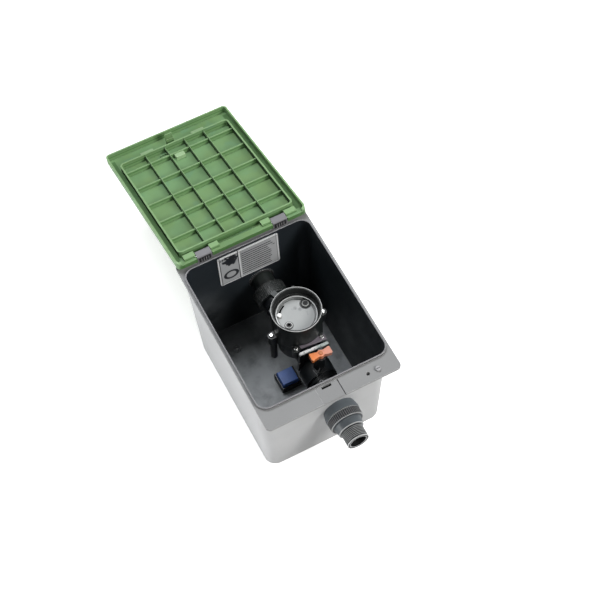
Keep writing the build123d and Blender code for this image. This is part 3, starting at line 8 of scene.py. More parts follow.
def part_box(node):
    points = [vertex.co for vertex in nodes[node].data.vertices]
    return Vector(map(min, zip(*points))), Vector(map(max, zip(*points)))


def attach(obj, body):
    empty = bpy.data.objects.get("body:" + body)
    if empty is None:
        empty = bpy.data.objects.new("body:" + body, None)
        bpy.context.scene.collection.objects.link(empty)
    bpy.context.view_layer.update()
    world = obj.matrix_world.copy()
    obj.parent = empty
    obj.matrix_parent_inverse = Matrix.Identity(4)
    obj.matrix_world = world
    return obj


# Irrigation valve box with its lid folded back: looks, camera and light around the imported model.
# Lengths are in metres. In the paints, a pair for Net.fade is where a mask is 0 and where it is 1,
# and a pair for Net.band is where a band starts and where it ends.

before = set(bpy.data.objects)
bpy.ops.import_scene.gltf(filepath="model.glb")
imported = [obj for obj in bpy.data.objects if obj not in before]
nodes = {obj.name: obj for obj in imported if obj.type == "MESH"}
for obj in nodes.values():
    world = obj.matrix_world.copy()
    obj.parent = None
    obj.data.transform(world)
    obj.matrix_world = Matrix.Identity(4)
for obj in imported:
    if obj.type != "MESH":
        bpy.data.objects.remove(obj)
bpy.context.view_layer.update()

MM = 0.001


def mm(*lengths, past=0.0):
    """Lengths in millimetres, or places that many millimetres past a line."""
    return tuple(past + length * MM for length in lengths)


# Where the main pieces stand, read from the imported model
label_low, label_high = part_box("back_label")
sleeve_low, sleeve_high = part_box("telescopic_sleeve")
nut_low, nut_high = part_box("outlet_union_nut")
clip_low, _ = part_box("outlet_clip")
_, bonnet_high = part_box("bonnet")
socket_low, socket_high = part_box("contact_socket")
port_low, port_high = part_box("pilot_port")
PORT_AT = ((port_low.x + port_high.x) / 2, (port_low.y + port_high.y) / 2)
SOCKET_AT = ((socket_low.x + socket_high.x) / 2, (socket_low.y + socket_high.y) / 2)
PIPE_X = (sleeve_low.x + sleeve_high.x) / 2
PIPE_Z = (sleeve_low.z + sleeve_high.z) / 2
CUP_AT = (PIPE_X, 0.0)

# Tub shape, for the split between its pale outside and its dark inside
TUB_W = 201 * MM
TUB_D = 250 * MM
TUB_H = 195 * MM
TUB_TAPER_X = 8.5 * MM
TUB_TAPER_Y = 6 * MM
TUB_WALL = 3 * MM
TUB_CORNER = 18 * MM
TUB_FLOOR = 3 * MM

# Lid frame at rest: the pins' line, the way to the far end and the way up from its inner side
LID_TURN = math.radians(17)
PIN_AT = Vector((0, 133.5 * MM, 204 * MM))
LID_BACK = Vector((0, math.cos(LID_TURN), -math.sin(LID_TURN)))
LID_UP = Vector((0, math.sin(LID_TURN), math.cos(LID_TURN)))
LID_PANEL = -2.5 * MM
RIB_TOP = 5.5 * MM


# Shader nodes


class Net:
    """Short ways to put nodes into one tree."""

    def __init__(self, tree):
        self.tree = tree

    def node(self, kind, **settings):
        made = self.tree.nodes.new("ShaderNode" + kind)
        for name, value in settings.items():
            setattr(made, name, value)
        return made

    def join(self, source, target):
        self.tree.links.new(source, target)

    def feed(self, socket, value):
        """Sets a socket to a number, or links it to another node's socket."""
        if isinstance(value, bpy.types.NodeSocket):
            self.join(value, socket)
        else:
            socket.default_value = value

    def maths(self, operation, first, second=0.0, third=0.0):
        made = self.node("Math", operation=operation)
        for socket, value in zip(made.inputs, (first, second, third)):
            self.feed(socket, value)
        return made.outputs[0]

    def vector(self, operation, first, second):
        made = self.node("VectorMath", operation=operation)
        self.feed(made.inputs[0], first)
        self.feed(made.inputs[1], second)
        return made.outputs

    def along(self, vector, direction):
        """How far a vector goes in a direction."""
        return self.vector("DOT_PRODUCT", vector, direction)["Value"]

    def spot(self):
        """The point on the object, as one vector."""
        return self.node("TexCoord").outputs["Object"]

    def place(self):
        """The point's own X, Y and Z on the object, in metres."""
        parts = self.node("SeparateXYZ")
        self.join(self.spot(), parts.inputs[0])
        return parts.outputs

    def away(self, first, second, at):
        """Distance from a line, by the two coordinates across it."""
        one = self.maths("SUBTRACT", first, at[0])
        two = self.maths("SUBTRACT", second, at[1])
        return self.maths("SQRT", self.maths("MULTIPLY_ADD", one, one, self.both(two, two)))

    def fade(self, value, start, end, low=0.0, high=1.0):
        """low at start, high at end and smooth between. Start may be the larger one."""
        made = self.node("MapRange", interpolation_type="SMOOTHSTEP")
        self.feed(made.inputs["Value"], value)
        self.feed(made.inputs["From Min"], start)
        self.feed(made.inputs["From Max"], end)
        self.feed(made.inputs["To Min"], low)
        self.feed(made.inputs["To Max"], high)
        return made.outputs["Result"]

    def band(self, value, low, high, soft=0.1 * MM):
        """1 between low and high, 0 outside."""
        return self.both(self.fade(value, low - soft, low + soft), self.fade(value, high + soft, high - soft))

    def either(self, *masks):
        """The highest of several masks."""
        best = masks[0]
        for mask in masks[1:]:
            best = self.maths("MAXIMUM", best, mask)
        return best

    def both(self, *masks):
        """Several masks or shares multiplied."""
        product = masks[0]
        for mask in masks[1:]:
            product = self.maths("MULTIPLY", product, mask)
        return product

    def noise(self, where, scale, detail=2.0, roughness=0.5):
        made = self.node("TexNoise")
        self.feed(made.inputs["Vector"], where)
        self.feed(made.inputs["Scale"], scale)
        made.inputs["Detail"].default_value = detail
        made.inputs["Roughness"].default_value = roughness
        return made.outputs["Fac"]

    def blend(self, factor, first, second):
        """The first colour where the factor is 0, the second where it is 1."""
        made = self.node("Mix", data_type="RGBA", blend_type="MIX")
        self.feed(made.inputs["Factor"], factor)
        for name, colour in (("A", first), ("B", second)):
            self.feed(made.inputs[name], colour if isinstance(colour, bpy.types.NodeSocket) else (*colour, 1))
        return made.outputs["Result"]


def new_group(name, inputs, outputs):
    """An empty node group with its sockets: (name, value) for inputs, (name, kind) for outputs."""
    tree = bpy.data.node_groups.new(name, "ShaderNodeTree")
    for socket, value in inputs:
        tree.interface.new_socket(socket, in_out="INPUT", socket_type="NodeSocketFloat").default_value = value
    for socket, kind in outputs:
        tree.interface.new_socket(socket, in_out="OUTPUT", socket_type="NodeSocket" + kind)
    net = Net(tree)
    net.start = tree.nodes.new("NodeGroupInput").outputs
    net.end = tree.nodes.new("NodeGroupOutput").inputs
    return net


# Noise of a mould's surface: scales and masks, with the specks' scale as a share of the grain's
GRAIN_SCALE = 1800.0
BLOTCH_SCALE = 18.0
BLOTCHES = (0.32, 0.68)
SPECK_SCALE = 0.45
SPECKS = (0.60, 0.74)


def moulded_skin_group():
    """Grain of a mould's surface with slow blotches: a height, a blotch mask and fine specks."""
    net = new_group(
        "moulded_skin",
        (("Grain", GRAIN_SCALE), ("Blotch", BLOTCH_SCALE)),
        (("Height", "Float"), ("Blotch", "Float"), ("Specks", "Float")),
    )
    spot = net.spot()
    grain = net.noise(spot, net.start["Grain"], detail=3.0, roughness=0.6)
    slow = net.noise(spot, net.start["Blotch"], detail=4.0, roughness=0.55)
    fine = net.noise(spot, net.both(net.start["Grain"], SPECK_SCALE), detail=1.0)
    net.join(grain, net.end["Height"])
    net.join(net.fade(slow, *BLOTCHES), net.end["Blotch"])
    net.join(net.fade(fine, *SPECKS), net.end["Specks"])
    return net.tree


EDGE_RADIUS = 0.6 * MM
CORNER_REACH = 4 * MM
EDGE_SAMPLES = 4
# How far the rounded normal turns at an edge, how open an edge has to be, and how closed a corner
EDGE_TURN = (0.02, 0.16)
EDGE_OPEN = (0.45, 0.75)
CORNER_CLOSED = (0.85, 0.35)


def soft_edge_group():
    """Normal rounded over edges, a mask of the outer edges for wear and painted highlights, and one of closed
    corners for painted shade.
    """
    net = new_group(
        "soft_edges",
        (("Radius", EDGE_RADIUS), ("Reach", CORNER_REACH)),
        (("Normal", "Vector"), ("Edge", "Float"), ("Corner", "Float")),
    )
    rounded = net.node("Bevel", samples=EDGE_SAMPLES)
    net.join(net.start["Radius"], rounded.inputs["Radius"])
    flat = net.node("NewGeometry").outputs["Normal"]
    turned = net.maths("SUBTRACT", 1.0, net.along(rounded.outputs["Normal"], flat))
    shade = net.node("AmbientOcclusion", samples=EDGE_SAMPLES, only_local=True)
    net.join(net.start["Reach"], shade.inputs["Distance"])
    openness = shade.outputs["AO"]
    net.join(rounded.outputs["Normal"], net.end["Normal"])
    net.join(net.both(net.fade(turned, *EDGE_TURN), net.fade(openness, *EDGE_OPEN)), net.end["Edge"])
    net.join(net.fade(openness, *CORNER_CLOSED), net.end["Corner"])
    return net.tree


GROUPS = {"skin": moulded_skin_group(), "edges": soft_edge_group()}


def use_group(net, name, **values):
    made = net.tree.nodes.new("ShaderNodeGroup")
    made.node_tree = GROUPS[name]
    for socket, value in values.items():
        net.feed(made.inputs[socket], value)
    return made.outputs


# Colour of a light blotch, of painted shade in corners and of an outer edge worn and painted pale as a
# highlight, from the plain colour: a factor and a lift
BLOTCH_LIFT = 0.002
CORNER_SHADE_FACTOR = 0.25
EDGE_WEAR_HIGHLIGHT_FACTOR, EDGE_WEAR_HIGHLIGHT_LIFT = 1.6, 0.03
# Roughness: how far its least value lies below the named one, and what blotches and specks add
LEAST_ROUGH = 0.06
BLOTCH_ROUGH = 0.12
SPECK_ROUGH = 0.08


def finish_material(
    name,
    colour,
    rough=0.5,
    grain=GRAIN_SCALE,
    depth=0.03 * MM,
    blotch=0.12,
    edge=0.35,
    edge_colour=None,
    corner=0.4,
    corner_reach=CORNER_REACH,
    metal=0.0,
    paint=None,
):
    """A moulded, pressed or turned surface: grain, blotches, worn outer edges with painted highlights, and
    painted shade in the corners.

    paint, if given, takes the net and the plain colour and returns the colour before wear, and the
    change that it makes to the roughness.
    """
    material = bpy.data.materials.new(name)
    material.use_nodes = True
    net = Net(material.node_tree)
    shader = material.node_tree.nodes["Principled BSDF"]
    skin = use_group(net, "skin", Grain=grain)
    edges = use_group(net, "edges", Radius=EDGE_RADIUS, Reach=corner_reach)
    light = tuple(min(1.0, c * (1 + blotch) + BLOTCH_LIFT) for c in colour)
    dark = tuple(c * (1 - blotch) for c in colour)
    tint = net.blend(skin["Blotch"], dark, light)
    polish = rough - LEAST_ROUGH
    if paint:
        tint, change = paint(net, tint)
        polish = net.maths("ADD", change, polish)
    # Painted shade in closed corners
    tint = net.blend(net.both(edges["Corner"], corner), tint, tuple(c * CORNER_SHADE_FACTOR for c in colour))
    wear_highlight = edge_colour or tuple(min(1.0, c * EDGE_WEAR_HIGHLIGHT_FACTOR + EDGE_WEAR_HIGHLIGHT_LIFT) for c in colour)
    # Outer edges worn and painted pale as highlights
    tint = net.blend(net.both(edges["Edge"], edge), tint, wear_highlight)
    net.join(tint, shader.inputs["Base Color"])
    polish = net.maths("MULTIPLY_ADD", skin["Blotch"], BLOTCH_ROUGH, polish)
    net.join(net.maths("MULTIPLY_ADD", skin["Specks"], SPECK_ROUGH, polish), shader.inputs["Roughness"])
    shader.inputs["Metallic"].default_value = metal
    bump = net.node("Bump")
    bump.inputs["Strength"].default_value = 1.0
    bump.inputs["Distance"].default_value = depth
    net.join(skin["Height"], bump.inputs["Height"])
    net.join(edges["Normal"], bump.inputs["Normal"])
    net.join(bump.outputs["Normal"], shader.inputs["Normal"])
    return material


# Camera: the photograph's side, with its small roll
CAMERA_AT = Vector((-0.4075, -0.9480, 2.0217))
CAMERA_TARGET = Vector((0.06206, 0.05437, 0.070))
CAMERA_ROLL = math.radians(-2.86)
CAMERA_LENS = 88.6
CAMERA_SENSOR = 36
CAMERA_CLIP = (0.05, 30)


def place_camera():
    """The photograph's viewpoint, for a square picture."""
    data = bpy.data.cameras.new("photo_camera")
    data.lens = CAMERA_LENS
    data.sensor_width = CAMERA_SENSOR
    data.clip_start, data.clip_end = CAMERA_CLIP
    camera = bpy.data.objects.new("photo_camera", data)
    bpy.context.scene.collection.objects.link(camera)
    camera.location = CAMERA_AT
    camera.rotation_mode = "QUATERNION"
    facing = (CAMERA_AT - CAMERA_TARGET).to_track_quat("Z", "Y")
    camera.rotation_quaternion = facing @ Quaternion((0, 0, 1), CAMERA_ROLL)
    bpy.context.scene.camera = camera


# Light: name, place, target, size across, size along, power in watts, colour
LAMPS = (
    ("key_right_front", (1.08, -1.32, 1.80), (0.0, 0.0, 0.1), 0.9, 0.9, 50.0, (1.0, 0.99, 0.97)),
    ("top_back", (-0.05, 1.05, 2.1), (0.0, 0.0, 0.0), 1.1, 1.0, 32.0, (0.95, 0.975, 1.0)),
    ("low_left", (-1.5, 0.1, 0.16), (0.0, 0.0, 0.1), 1.6, 0.25, 16.0, (1.0, 1.0, 1.0)),
)
WORLD_LIGHT = 0.22
WHITE = (1, 1, 1, 1)


def place_lamps():
    for name, at, target, across, along, watts, colour in LAMPS:
        data = bpy.data.lights.new(name, "AREA")
        data.shape = "RECTANGLE"
        data.size = across
        data.size_y = along
        data.energy = watts
        data.color = colour
        lamp = bpy.data.objects.new(name, data)
        bpy.context.scene.collection.objects.link(lamp)
        lamp.location = at
        lamp.rotation_mode = "QUATERNION"
        lamp.rotation_quaternion = (Vector(at) - Vector(target)).to_track_quat("Z", "Y")


def set_world():
    """White behind the object and through clear things, a plainer level as light."""
    world = bpy.data.worlds.new("studio")
    bpy.context.scene.world = world
    world.use_nodes = True
    world.node_tree.nodes.clear()
    net = Net(world.node_tree)
    path = net.node("LightPath").outputs
    seen = net.maths("MAXIMUM", path["Is Camera Ray"], path["Is Transmission Ray"])
    background = net.node("Background")
    background.inputs["Color"].default_value = WHITE
    level = net.maths("MULTIPLY_ADD", seen, 1 - WORLD_LIGHT, WORLD_LIGHT)
    net.join(level, background.inputs["Strength"])
    net.join(background.outputs[0], net.node("OutputWorld").inputs[0])


FLOOR_SIZE = 12.0
FLOOR_CELLS = 4
FLOOR_COLOUR = (0.86, 0.86, 0.86, 1)
FLOOR_ROUGH = 0.9
FLOOR_LIFT = 0.6
# The lift stays away from under the box, so its holes look down on shade
LIFT_ACROSS = mm(80, 88)
LIFT_ALONG = mm(104, 112)


def lay_floor():
    """Pale floor that shows white to the camera and keeps the object's shadow."""
    mesh = bpy.data.meshes.new("studio_floor")
    bm = bmesh.new()
    bmesh.ops.create_grid(bm, x_segments=FLOOR_CELLS, y_segments=FLOOR_CELLS, size=FLOOR_SIZE)
    bm.to_mesh(mesh)
    bm.free()
    floor = bpy.data.objects.new("studio_floor", mesh)
    bpy.context.scene.collection.objects.link(floor)
    material = bpy.data.materials.new("pale_floor")
    material.use_nodes = True
    shader = material.node_tree.nodes["Principled BSDF"]
    shader.inputs["Base Color"].default_value = FLOOR_COLOUR
    shader.inputs["Roughness"].default_value = FLOOR_ROUGH
    shader.inputs["Specular IOR Level"].default_value = 0.0
    shader.inputs["Emission Color"].default_value = WHITE
    net = Net(material.node_tree)
    place = net.place()
    lift = net.both(net.node("LightPath").outputs["Is Camera Ray"], FLOOR_LIFT)
    across = net.fade(net.maths("ABSOLUTE", place["X"]), *LIFT_ACROSS)
    along = net.fade(net.maths("ABSOLUTE", place["Y"]), *LIFT_ALONG)
    net.join(net.both(lift, net.either(across, along)), shader.inputs["Emission Strength"])
    mesh.materials.append(material)


# Paints


SHADE = (0.004, 0.004, 0.005)

TUB_GREY = (0.435, 0.44, 0.445)
TUB_FLANGE_SHADED_GREY = (0.185, 0.187, 0.189)
HOOK_GREY = (0.150, 0.148, 0.158)
TUB_INSIDE_SHADE = (0.016, 0.021, 0.026)
TUB_DUST_AND_SHEEN = (0.31, 0.33, 0.345)
INSIDE_GLOSS = -0.05
# The painted shade of the inside starts this deep in the wall, and ends near the top of the lip
INSIDE_DEPTH = 0.7 * MM
INSIDE_EDGE = mm(0.2, 0.0)
INSIDE_BELOW = mm(3.5, 2.8, past=TUB_H)
# Heights where the flange's darker grey, painted shade on its top, and the hooks' grey start
FLANGE_FROM = mm(-4.5, -3.5, past=TUB_H)
FLANGE_SHARE = 0.9
HOOKS_FROM = mm(1.5, 2.0, past=TUB_H)
# Dust and painted sheen on the floor, thicker towards the outlet and on the left, in drifts
DUST_SHEEN_ALONG = mm(150, 30)
DUST_SHEEN_BELOW = mm(3.0, 1.5, past=TUB_FLOOR)
DUST_SHEEN_ACROSS = mm(45, 75)
DUST_SHEEN_RIGHT = 0.60
DRIFT_SCALE = 30.0
DRIFTS = (0.15, 0.6)
# Dust and painted sheen on the back wall, on its left and thicker towards the floor
BACK_WALL = mm(110, 114)
BACK_DUST_SHEEN_ACROSS = mm(-25, -75)
BACK_DUST_SHEEN_UP = mm(150, 20)
BACK_DUST_SHEEN = 0.5
# Open side of the latch's recess: across, along and up
RECESS_ACROSS = mm(14.3, 16.5)
RECESS_ALONG = mm(-123.5, -124.5)
RECESS_UP = mm(-2.5, -0.6, past=TUB_H)
# Hole beside the lock screw
LOCK_HOLE = mm(56.1, -138.9)
LOCK_HOLE_RADIUS = mm(2.7, 2.4)
LOCK_HOLE_FROM = mm(-30, -29, past=TUB_H)


def tub_paint(net, tint):
    """Pale outside, inside dark as painted shade of the deep box: the tub's own rounded shape says which side
    a point is on.
    """
    place = net.place()
    across, along, height = place["X"], place["Y"], place["Z"]
    reach = []
    for way, width, taper in ((across, TUB_W, TUB_TAPER_X), (along, TUB_D, TUB_TAPER_Y)):
        wall = net.maths("MULTIPLY_ADD", height, taper / TUB_H, width / 2 - taper - TUB_CORNER)
        reach.append(net.maths("MAXIMUM", net.maths("SUBTRACT", net.maths("ABSOLUTE", way), wall), 0.0))
    squares = net.maths("MULTIPLY_ADD", reach[0], reach[0], net.both(reach[1], reach[1]))
    outside_by = net.maths("SUBTRACT", net.maths("SQRT", squares), TUB_CORNER - TUB_WALL + INSIDE_DEPTH)
    inside = net.both(net.fade(outside_by, *INSIDE_EDGE), net.fade(height, *INSIDE_BELOW))
    # Painted shade: the flange's top darker than the walls
    tint = net.blend(net.both(net.fade(height, *FLANGE_FROM), FLANGE_SHARE), tint, TUB_FLANGE_SHADED_GREY)
    tint = net.blend(net.fade(height, *HOOKS_FROM), tint, HOOK_GREY)
    on_floor = net.both(net.fade(along, *DUST_SHEEN_ALONG), net.fade(height, *DUST_SHEEN_BELOW),
                        net.fade(across, *DUST_SHEEN_ACROSS, 1.0, DUST_SHEEN_RIGHT))
    on_back = net.both(net.fade(along, *BACK_WALL), net.fade(across, *BACK_DUST_SHEEN_ACROSS),
                       net.fade(height, *BACK_DUST_SHEEN_UP, 0.0, BACK_DUST_SHEEN))
    drift = net.fade(net.noise(net.spot(), DRIFT_SCALE, detail=5.0, roughness=0.6), *DRIFTS)
    # Painted shade inside, lightened by dust and painted sheen on the floor and the back wall
    dark = net.blend(net.both(net.either(on_floor, on_back), drift), TUB_INSIDE_SHADE, TUB_DUST_AND_SHEEN)
    # Painted shade in the latch's open recess and down the lock hole
    recess = net.both(net.band(across, *RECESS_ACROSS), net.band(height, *RECESS_UP),
                      net.fade(along, *RECESS_ALONG))
    hole = net.both(net.fade(net.away(across, along, LOCK_HOLE), *LOCK_HOLE_RADIUS),
                    net.fade(height, *LOCK_HOLE_FROM))
    tint = net.blend(net.either(recess, hole), tint, SHADE)
    return net.blend(inside, tint, dark), net.both(inside, INSIDE_GLOSS)


LID_GREEN = (0.155, 0.285, 0.128)
LID_YELLOWER = (0.165, 0.270, 0.095)
LID_BLUER = (0.135, 0.270, 0.165)
LID_FRONTS_LIT = (0.165, 0.300, 0.128)
LID_TOPS_LIT = (0.245, 0.405, 0.190)
LID_SHADE_LINE = (0.050, 0.125, 0.034)
LID_SHADE = (0.006, 0.036, 0.003)
LID_INNER_SIDE = mm(-0.8, -0.4, past=LID_PANEL)
# Patches of hue: noise scale and mask, and the share that shows outside and adds inside
PATCH_SCALE, PATCHES = 26.0, (0.40, 0.66)
PATCH_OUTSIDE, PATCH_INSIDE = 0.15, 0.35
COOL_SCALE, COOL_PATCHES, COOL_SHARE = 34.0, (0.60, 0.70), 0.4
# Sides that face the pins, lit as pale as the panel by painted light, with a thin line of painted shade, and
# painted shade at the foot of the one behind the pins
FRONT_FACING = (-0.8, -0.95)
FRONT_BELOW = mm(0.0, -0.4, past=RIB_TOP)
FRONT_LINE, FRONT_LINE_SOFT, FRONT_LINE_SHARE = mm(-3.4, -2.0, past=RIB_TOP), 0.3 * MM, 0.7
FOOT_BACK, FOOT_BELOW, FOOT_SHARE = mm(13.5, 13.0), mm(2.0, 1.2), 0.8
# Tops that face up, lighter as painted highlights: facing, height and share
TOP_FACING = (0.6, 0.9)
TOP_FROM = mm(-1.2, -0.4, past=RIB_TOP)
TOP_SHARE = 0.75
# Inner sides of the skirt, and the field of the long ribs within it
SKIRT_OFF = mm(99.5, 99.1)
SKIRT_BACK, SKIRT_SOFT = mm(-11.0, 276.0), 0.5 * MM
RIBS_OFF = mm(60, 59)
RIBS_BACK = mm(15.0, 248.8)
# Middles of the long ribs, in mm, and the shaded part of their tops
LONG_RIBS = (-48.9, -16.3, 16.3, 48.9)
RIB_SHADED = (-1.2, 0.2)
LEFT_FACING = (0.8, 0.95)
SHADE_UP = (LID_PANEL + 0.6 * MM, RIB_TOP + 3.4 * MM)
SHADE_ROUGH = 0.3
# Painted shade in the ditch between the ribs' frame and the skirt, and behind the pins
DITCH_OFF = mm(91.5, 91.9)
DITCH_BACK = mm(9.5, 9.0)
DITCH_FROM = mm(-3, -2)
DITCH_BELOW = mm(-3, -5, past=RIB_TOP)
DITCH_SHARE = 0.75


def lid_paint(net, tint):
    """Inner side of the lid: painted highlights on the tops, painted light on sides that face the pins,
    painted shade on sides away from the key light and in thin lines, patches of hue.
    """
    spot = net.spot()
    normal = net.node("TexCoord").outputs["Normal"]
    across = net.place()["X"]
    off = net.maths("ABSOLUTE", across)
    from_pin = net.vector("SUBTRACT", spot, PIN_AT)["Vector"]
    height = net.along(from_pin, LID_UP)
    back = net.along(from_pin, LID_BACK)
    inner_side = net.fade(height, *LID_INNER_SIDE)
    patch = net.fade(net.noise(spot, PATCH_SCALE, detail=3.0), *PATCHES)
    patch = net.both(patch, net.maths("MULTIPLY_ADD", inner_side, PATCH_INSIDE, PATCH_OUTSIDE))
    tint = net.blend(patch, tint, LID_YELLOWER)
    cool = net.fade(net.noise(spot, COOL_SCALE, detail=1.0), *COOL_PATCHES)
    tint = net.blend(net.both(cool, inner_side, COOL_SHARE), tint, LID_BLUER)
    # Sides that face the pins get painted light, as pale as the panel, with a thin line of painted shade near
    # the top
    fronts = net.both(net.fade(net.along(normal, LID_BACK), *FRONT_FACING), net.fade(height, *FRONT_BELOW))
    tint = net.blend(fronts, tint, LID_FRONTS_LIT)
    line = net.band(height, *FRONT_LINE, FRONT_LINE_SOFT)
    tint = net.blend(net.both(fronts, line, FRONT_LINE_SHARE), tint, LID_SHADE_LINE)
    # Painted shade at the foot of the side behind the pins
    foot = net.both(net.fade(back, *FOOT_BACK), net.fade(height, *FOOT_BELOW))
    tint = net.blend(net.both(fronts, foot, FOOT_SHARE), tint, LID_SHADE_LINE)
    # Tops lighter as painted highlights
    tops = net.both(net.fade(net.along(normal, LID_UP), *TOP_FACING), net.fade(height, *TOP_FROM))
    tint = net.blend(net.both(tops, TOP_SHARE), tint, LID_TOPS_LIT)
    # Sides that face left, and half of the long ribs' tops, lie in shade
    within = net.both(net.fade(off, *SKIRT_OFF), net.band(back, *SKIRT_BACK, SKIRT_SOFT))
    rib_room = net.both(net.fade(off, *RIBS_OFF), net.band(back, *RIBS_BACK))
    lines = net.either(*(net.band(across, *mm(*RIB_SHADED, past=at * MM)) for at in LONG_RIBS))
    lefts = net.fade(net.along(normal, (-1, 0, 0)), *LEFT_FACING)
    shade = net.either(net.both(lines, rib_room), net.both(lefts, within))
    shade = net.both(shade, net.band(height, *SHADE_UP))
    tint = net.blend(shade, tint, LID_SHADE)
    # Painted shade in the ditch beside the ribs and behind the pins
    beside = net.fade(off, *DITCH_OFF)
    behind = net.both(net.fade(back, *DITCH_BACK), net.fade(back, *DITCH_FROM))
    ditch = net.both(net.either(beside, behind), net.fade(height, *DITCH_BELOW), within, inner_side)
    return net.blend(net.both(ditch, DITCH_SHARE), tint, LID_SHADE_LINE), net.both(shade, SHADE_ROUGH)


PRINT_DARK = (0.020, 0.022, 0.026)
PRINT_PALE = (0.80, 0.81, 0.82)
# Frame: its lines across and up, and the divider between the ring's side and the ruled lines
FRAME_ACROSS = (mm(2.3, 3.7, past=label_low.x), mm(-3.2, -2.6, past=label_high.x))
FRAME_UP = (mm(2.6, 3.3, past=label_low.z), mm(-4.6, -3.9, past=label_high.z))
FRAME_SHARE = 0.8
DIVIDER = mm(-13.6, -12.3)
# Pale border outside the frame, and the pale line beside the divider
BORDER_ACROSS = (mm(2.1, 1.8, past=label_low.x), mm(-2.1, -1.8, past=label_high.x))
BORDER_UP = (mm(2.4, 2.0, past=label_low.z), mm(-3.4, -3.0, past=label_high.z))
DIVIDER_PALE = mm(-12.2, -10.0)
# Ring: its middle, its half width and half height, and its line as a share of them
RING_AT = mm(-26.6, 143.2)
RING_HALF = mm(11.2, 9.6)
RING_LINE, RING_SOFT = (0.68, 1.08), 0.02
# Blot: its middle, its edge, and how far and how finely noise tears it
BLOT_AT = mm(-25.7, 178.0)
BLOT_EDGE = mm(26.2, 25.0)
BLOT_TEAR, BLOT_TEAR_SCALE = 30 * MM, 210.0
# Ruled lines: their step and the dark part of it, their left ends, ragged right ends and heights
RULED_STEP = 5.1 * MM
RULED_PART, RULED_SOFT = (0.28, 0.72), 0.06
RULED_LEFT = mm(-9.0, -8.6)
RULED_RIGHT, RULED_RIGHT_EDGE = 27.5 * MM, mm(0.5, 0.0)
RULED_RAGGED, RULED_RAGGED_SCALE = 22 * MM, 90.0
RULED_UP = (label_low.z + 5 * MM, label_high.z - 7 * MM)
INK_SCALE, INK, INK_WORN = 480.0, (0.30, 0.58), 0.70


def label_paint(net, tint):
    """Generic print: a frame, a divider, a blot over a ring on the left, ruled lines on the right."""
    place = net.place()
    across, height = place["X"], place["Z"]
    spot = net.spot()
    frame_lines = net.either(*(net.band(across, *line) for line in FRAME_ACROSS),
                             *(net.band(height, *line) for line in FRAME_UP))
    wide, tall = (net.maths("DIVIDE", net.maths("SUBTRACT", way, at), half)
                  for way, at, half in zip((across, height), RING_AT, RING_HALF))
    from_ring = net.maths("SQRT", net.maths("MULTIPLY_ADD", wide, wide, net.both(tall, tall)))
    ring = net.band(from_ring, *RING_LINE, RING_SOFT)
    from_blot = net.away(across, height, BLOT_AT)
    torn = net.maths("MULTIPLY_ADD", net.noise(spot, BLOT_TEAR_SCALE, detail=2.0), BLOT_TEAR, from_blot)
    blot = net.fade(torn, *BLOT_EDGE)
    step = net.maths("FRACT", net.maths("DIVIDE", net.maths("SUBTRACT", height, label_low.z), RULED_STEP))
    ends = net.noise(spot, RULED_RAGGED_SCALE, detail=0.0)
    ends = net.maths("MULTIPLY_ADD", ends, RULED_RAGGED, RULED_RIGHT)
    ruled = net.both(
        net.band(step, *RULED_PART, RULED_SOFT),
        net.fade(across, *RULED_LEFT),
        net.fade(net.maths("SUBTRACT", across, ends), *RULED_RIGHT_EDGE),
        net.band(height, *RULED_UP),
        net.fade(net.noise(spot, INK_SCALE, detail=1.0), *INK, INK_WORN, 1.0),
    )
    border = net.either(*(net.fade(across, *side) for side in BORDER_ACROSS),
                        *(net.fade(height, *side) for side in BORDER_UP),
                        net.band(across, *DIVIDER_PALE))
    tint = net.blend(border, tint, PRINT_PALE)
    printed = net.either(net.both(frame_lines, FRAME_SHARE), net.band(across, *DIVIDER), ring, blot, ruled)
    return net.blend(printed, tint, PRINT_DARK), 0.0


CLIP_LEAN = math.radians(5)
CLIP_BAR_FROM = mm(41.4, 41.7)
CLIP_BLACK = (0.012, 0.012, 0.013)
CLIP_LIT_WHITE = (0.95, 0.96, 0.97)
CLIP_LIT_ACROSS = mm(11, 4, past=PIPE_X)
SPECK_DARK = (0.10, 0.14, 0.13)
CLIP_SPECK_SCALE, CLIP_SPECKS, CLIP_SPECK_SHARE = 420.0, (0.60, 0.66), 0.6


def clip_paint(net, tint):
    """Pale strip along the clip's top bar, whiter at its left as painted light, with the legs in black."""
    place = net.place()
    sideways = net.maths("SUBTRACT", place["X"], PIPE_X)
    upright = net.maths("SUBTRACT", place["Z"], PIPE_Z)
    up = net.maths("MULTIPLY_ADD", sideways, math.sin(CLIP_LEAN), net.both(upright, math.cos(CLIP_LEAN)))
    pale = net.blend(net.fade(place["X"], *CLIP_LIT_ACROSS), tint, CLIP_LIT_WHITE)
    marks = net.fade(net.noise(net.spot(), CLIP_SPECK_SCALE, detail=1.0), *CLIP_SPECKS)
    pale = net.blend(net.both(marks, CLIP_SPECK_SHARE), pale, SPECK_DARK)
    return net.blend(net.fade(up, *CLIP_BAR_FROM), CLIP_BLACK, pale), 0.0


LEVER_HIGHLIGHT_PINK = (0.56, 0.245, 0.175)
LEVER_HIGHLIGHT_ACROSS = mm(-6, 16, past=PIPE_X)


def lever_paint(net, tint):
    """Orange at the lever's left end, paler and pinker towards its right end as a painted highlight."""
    return net.blend(net.fade(net.place()["X"], *LEVER_HIGHLIGHT_ACROSS), tint, LEVER_HIGHLIGHT_PINK), 0.0


RIM_HIGHLIGHT = (0.52, 0.53, 0.54)
CREST_HIGHLIGHT, CREST_SHARE = (0.36, 0.37, 0.37), 0.9
ROOT_SHADE = (0.005, 0.005, 0.006)
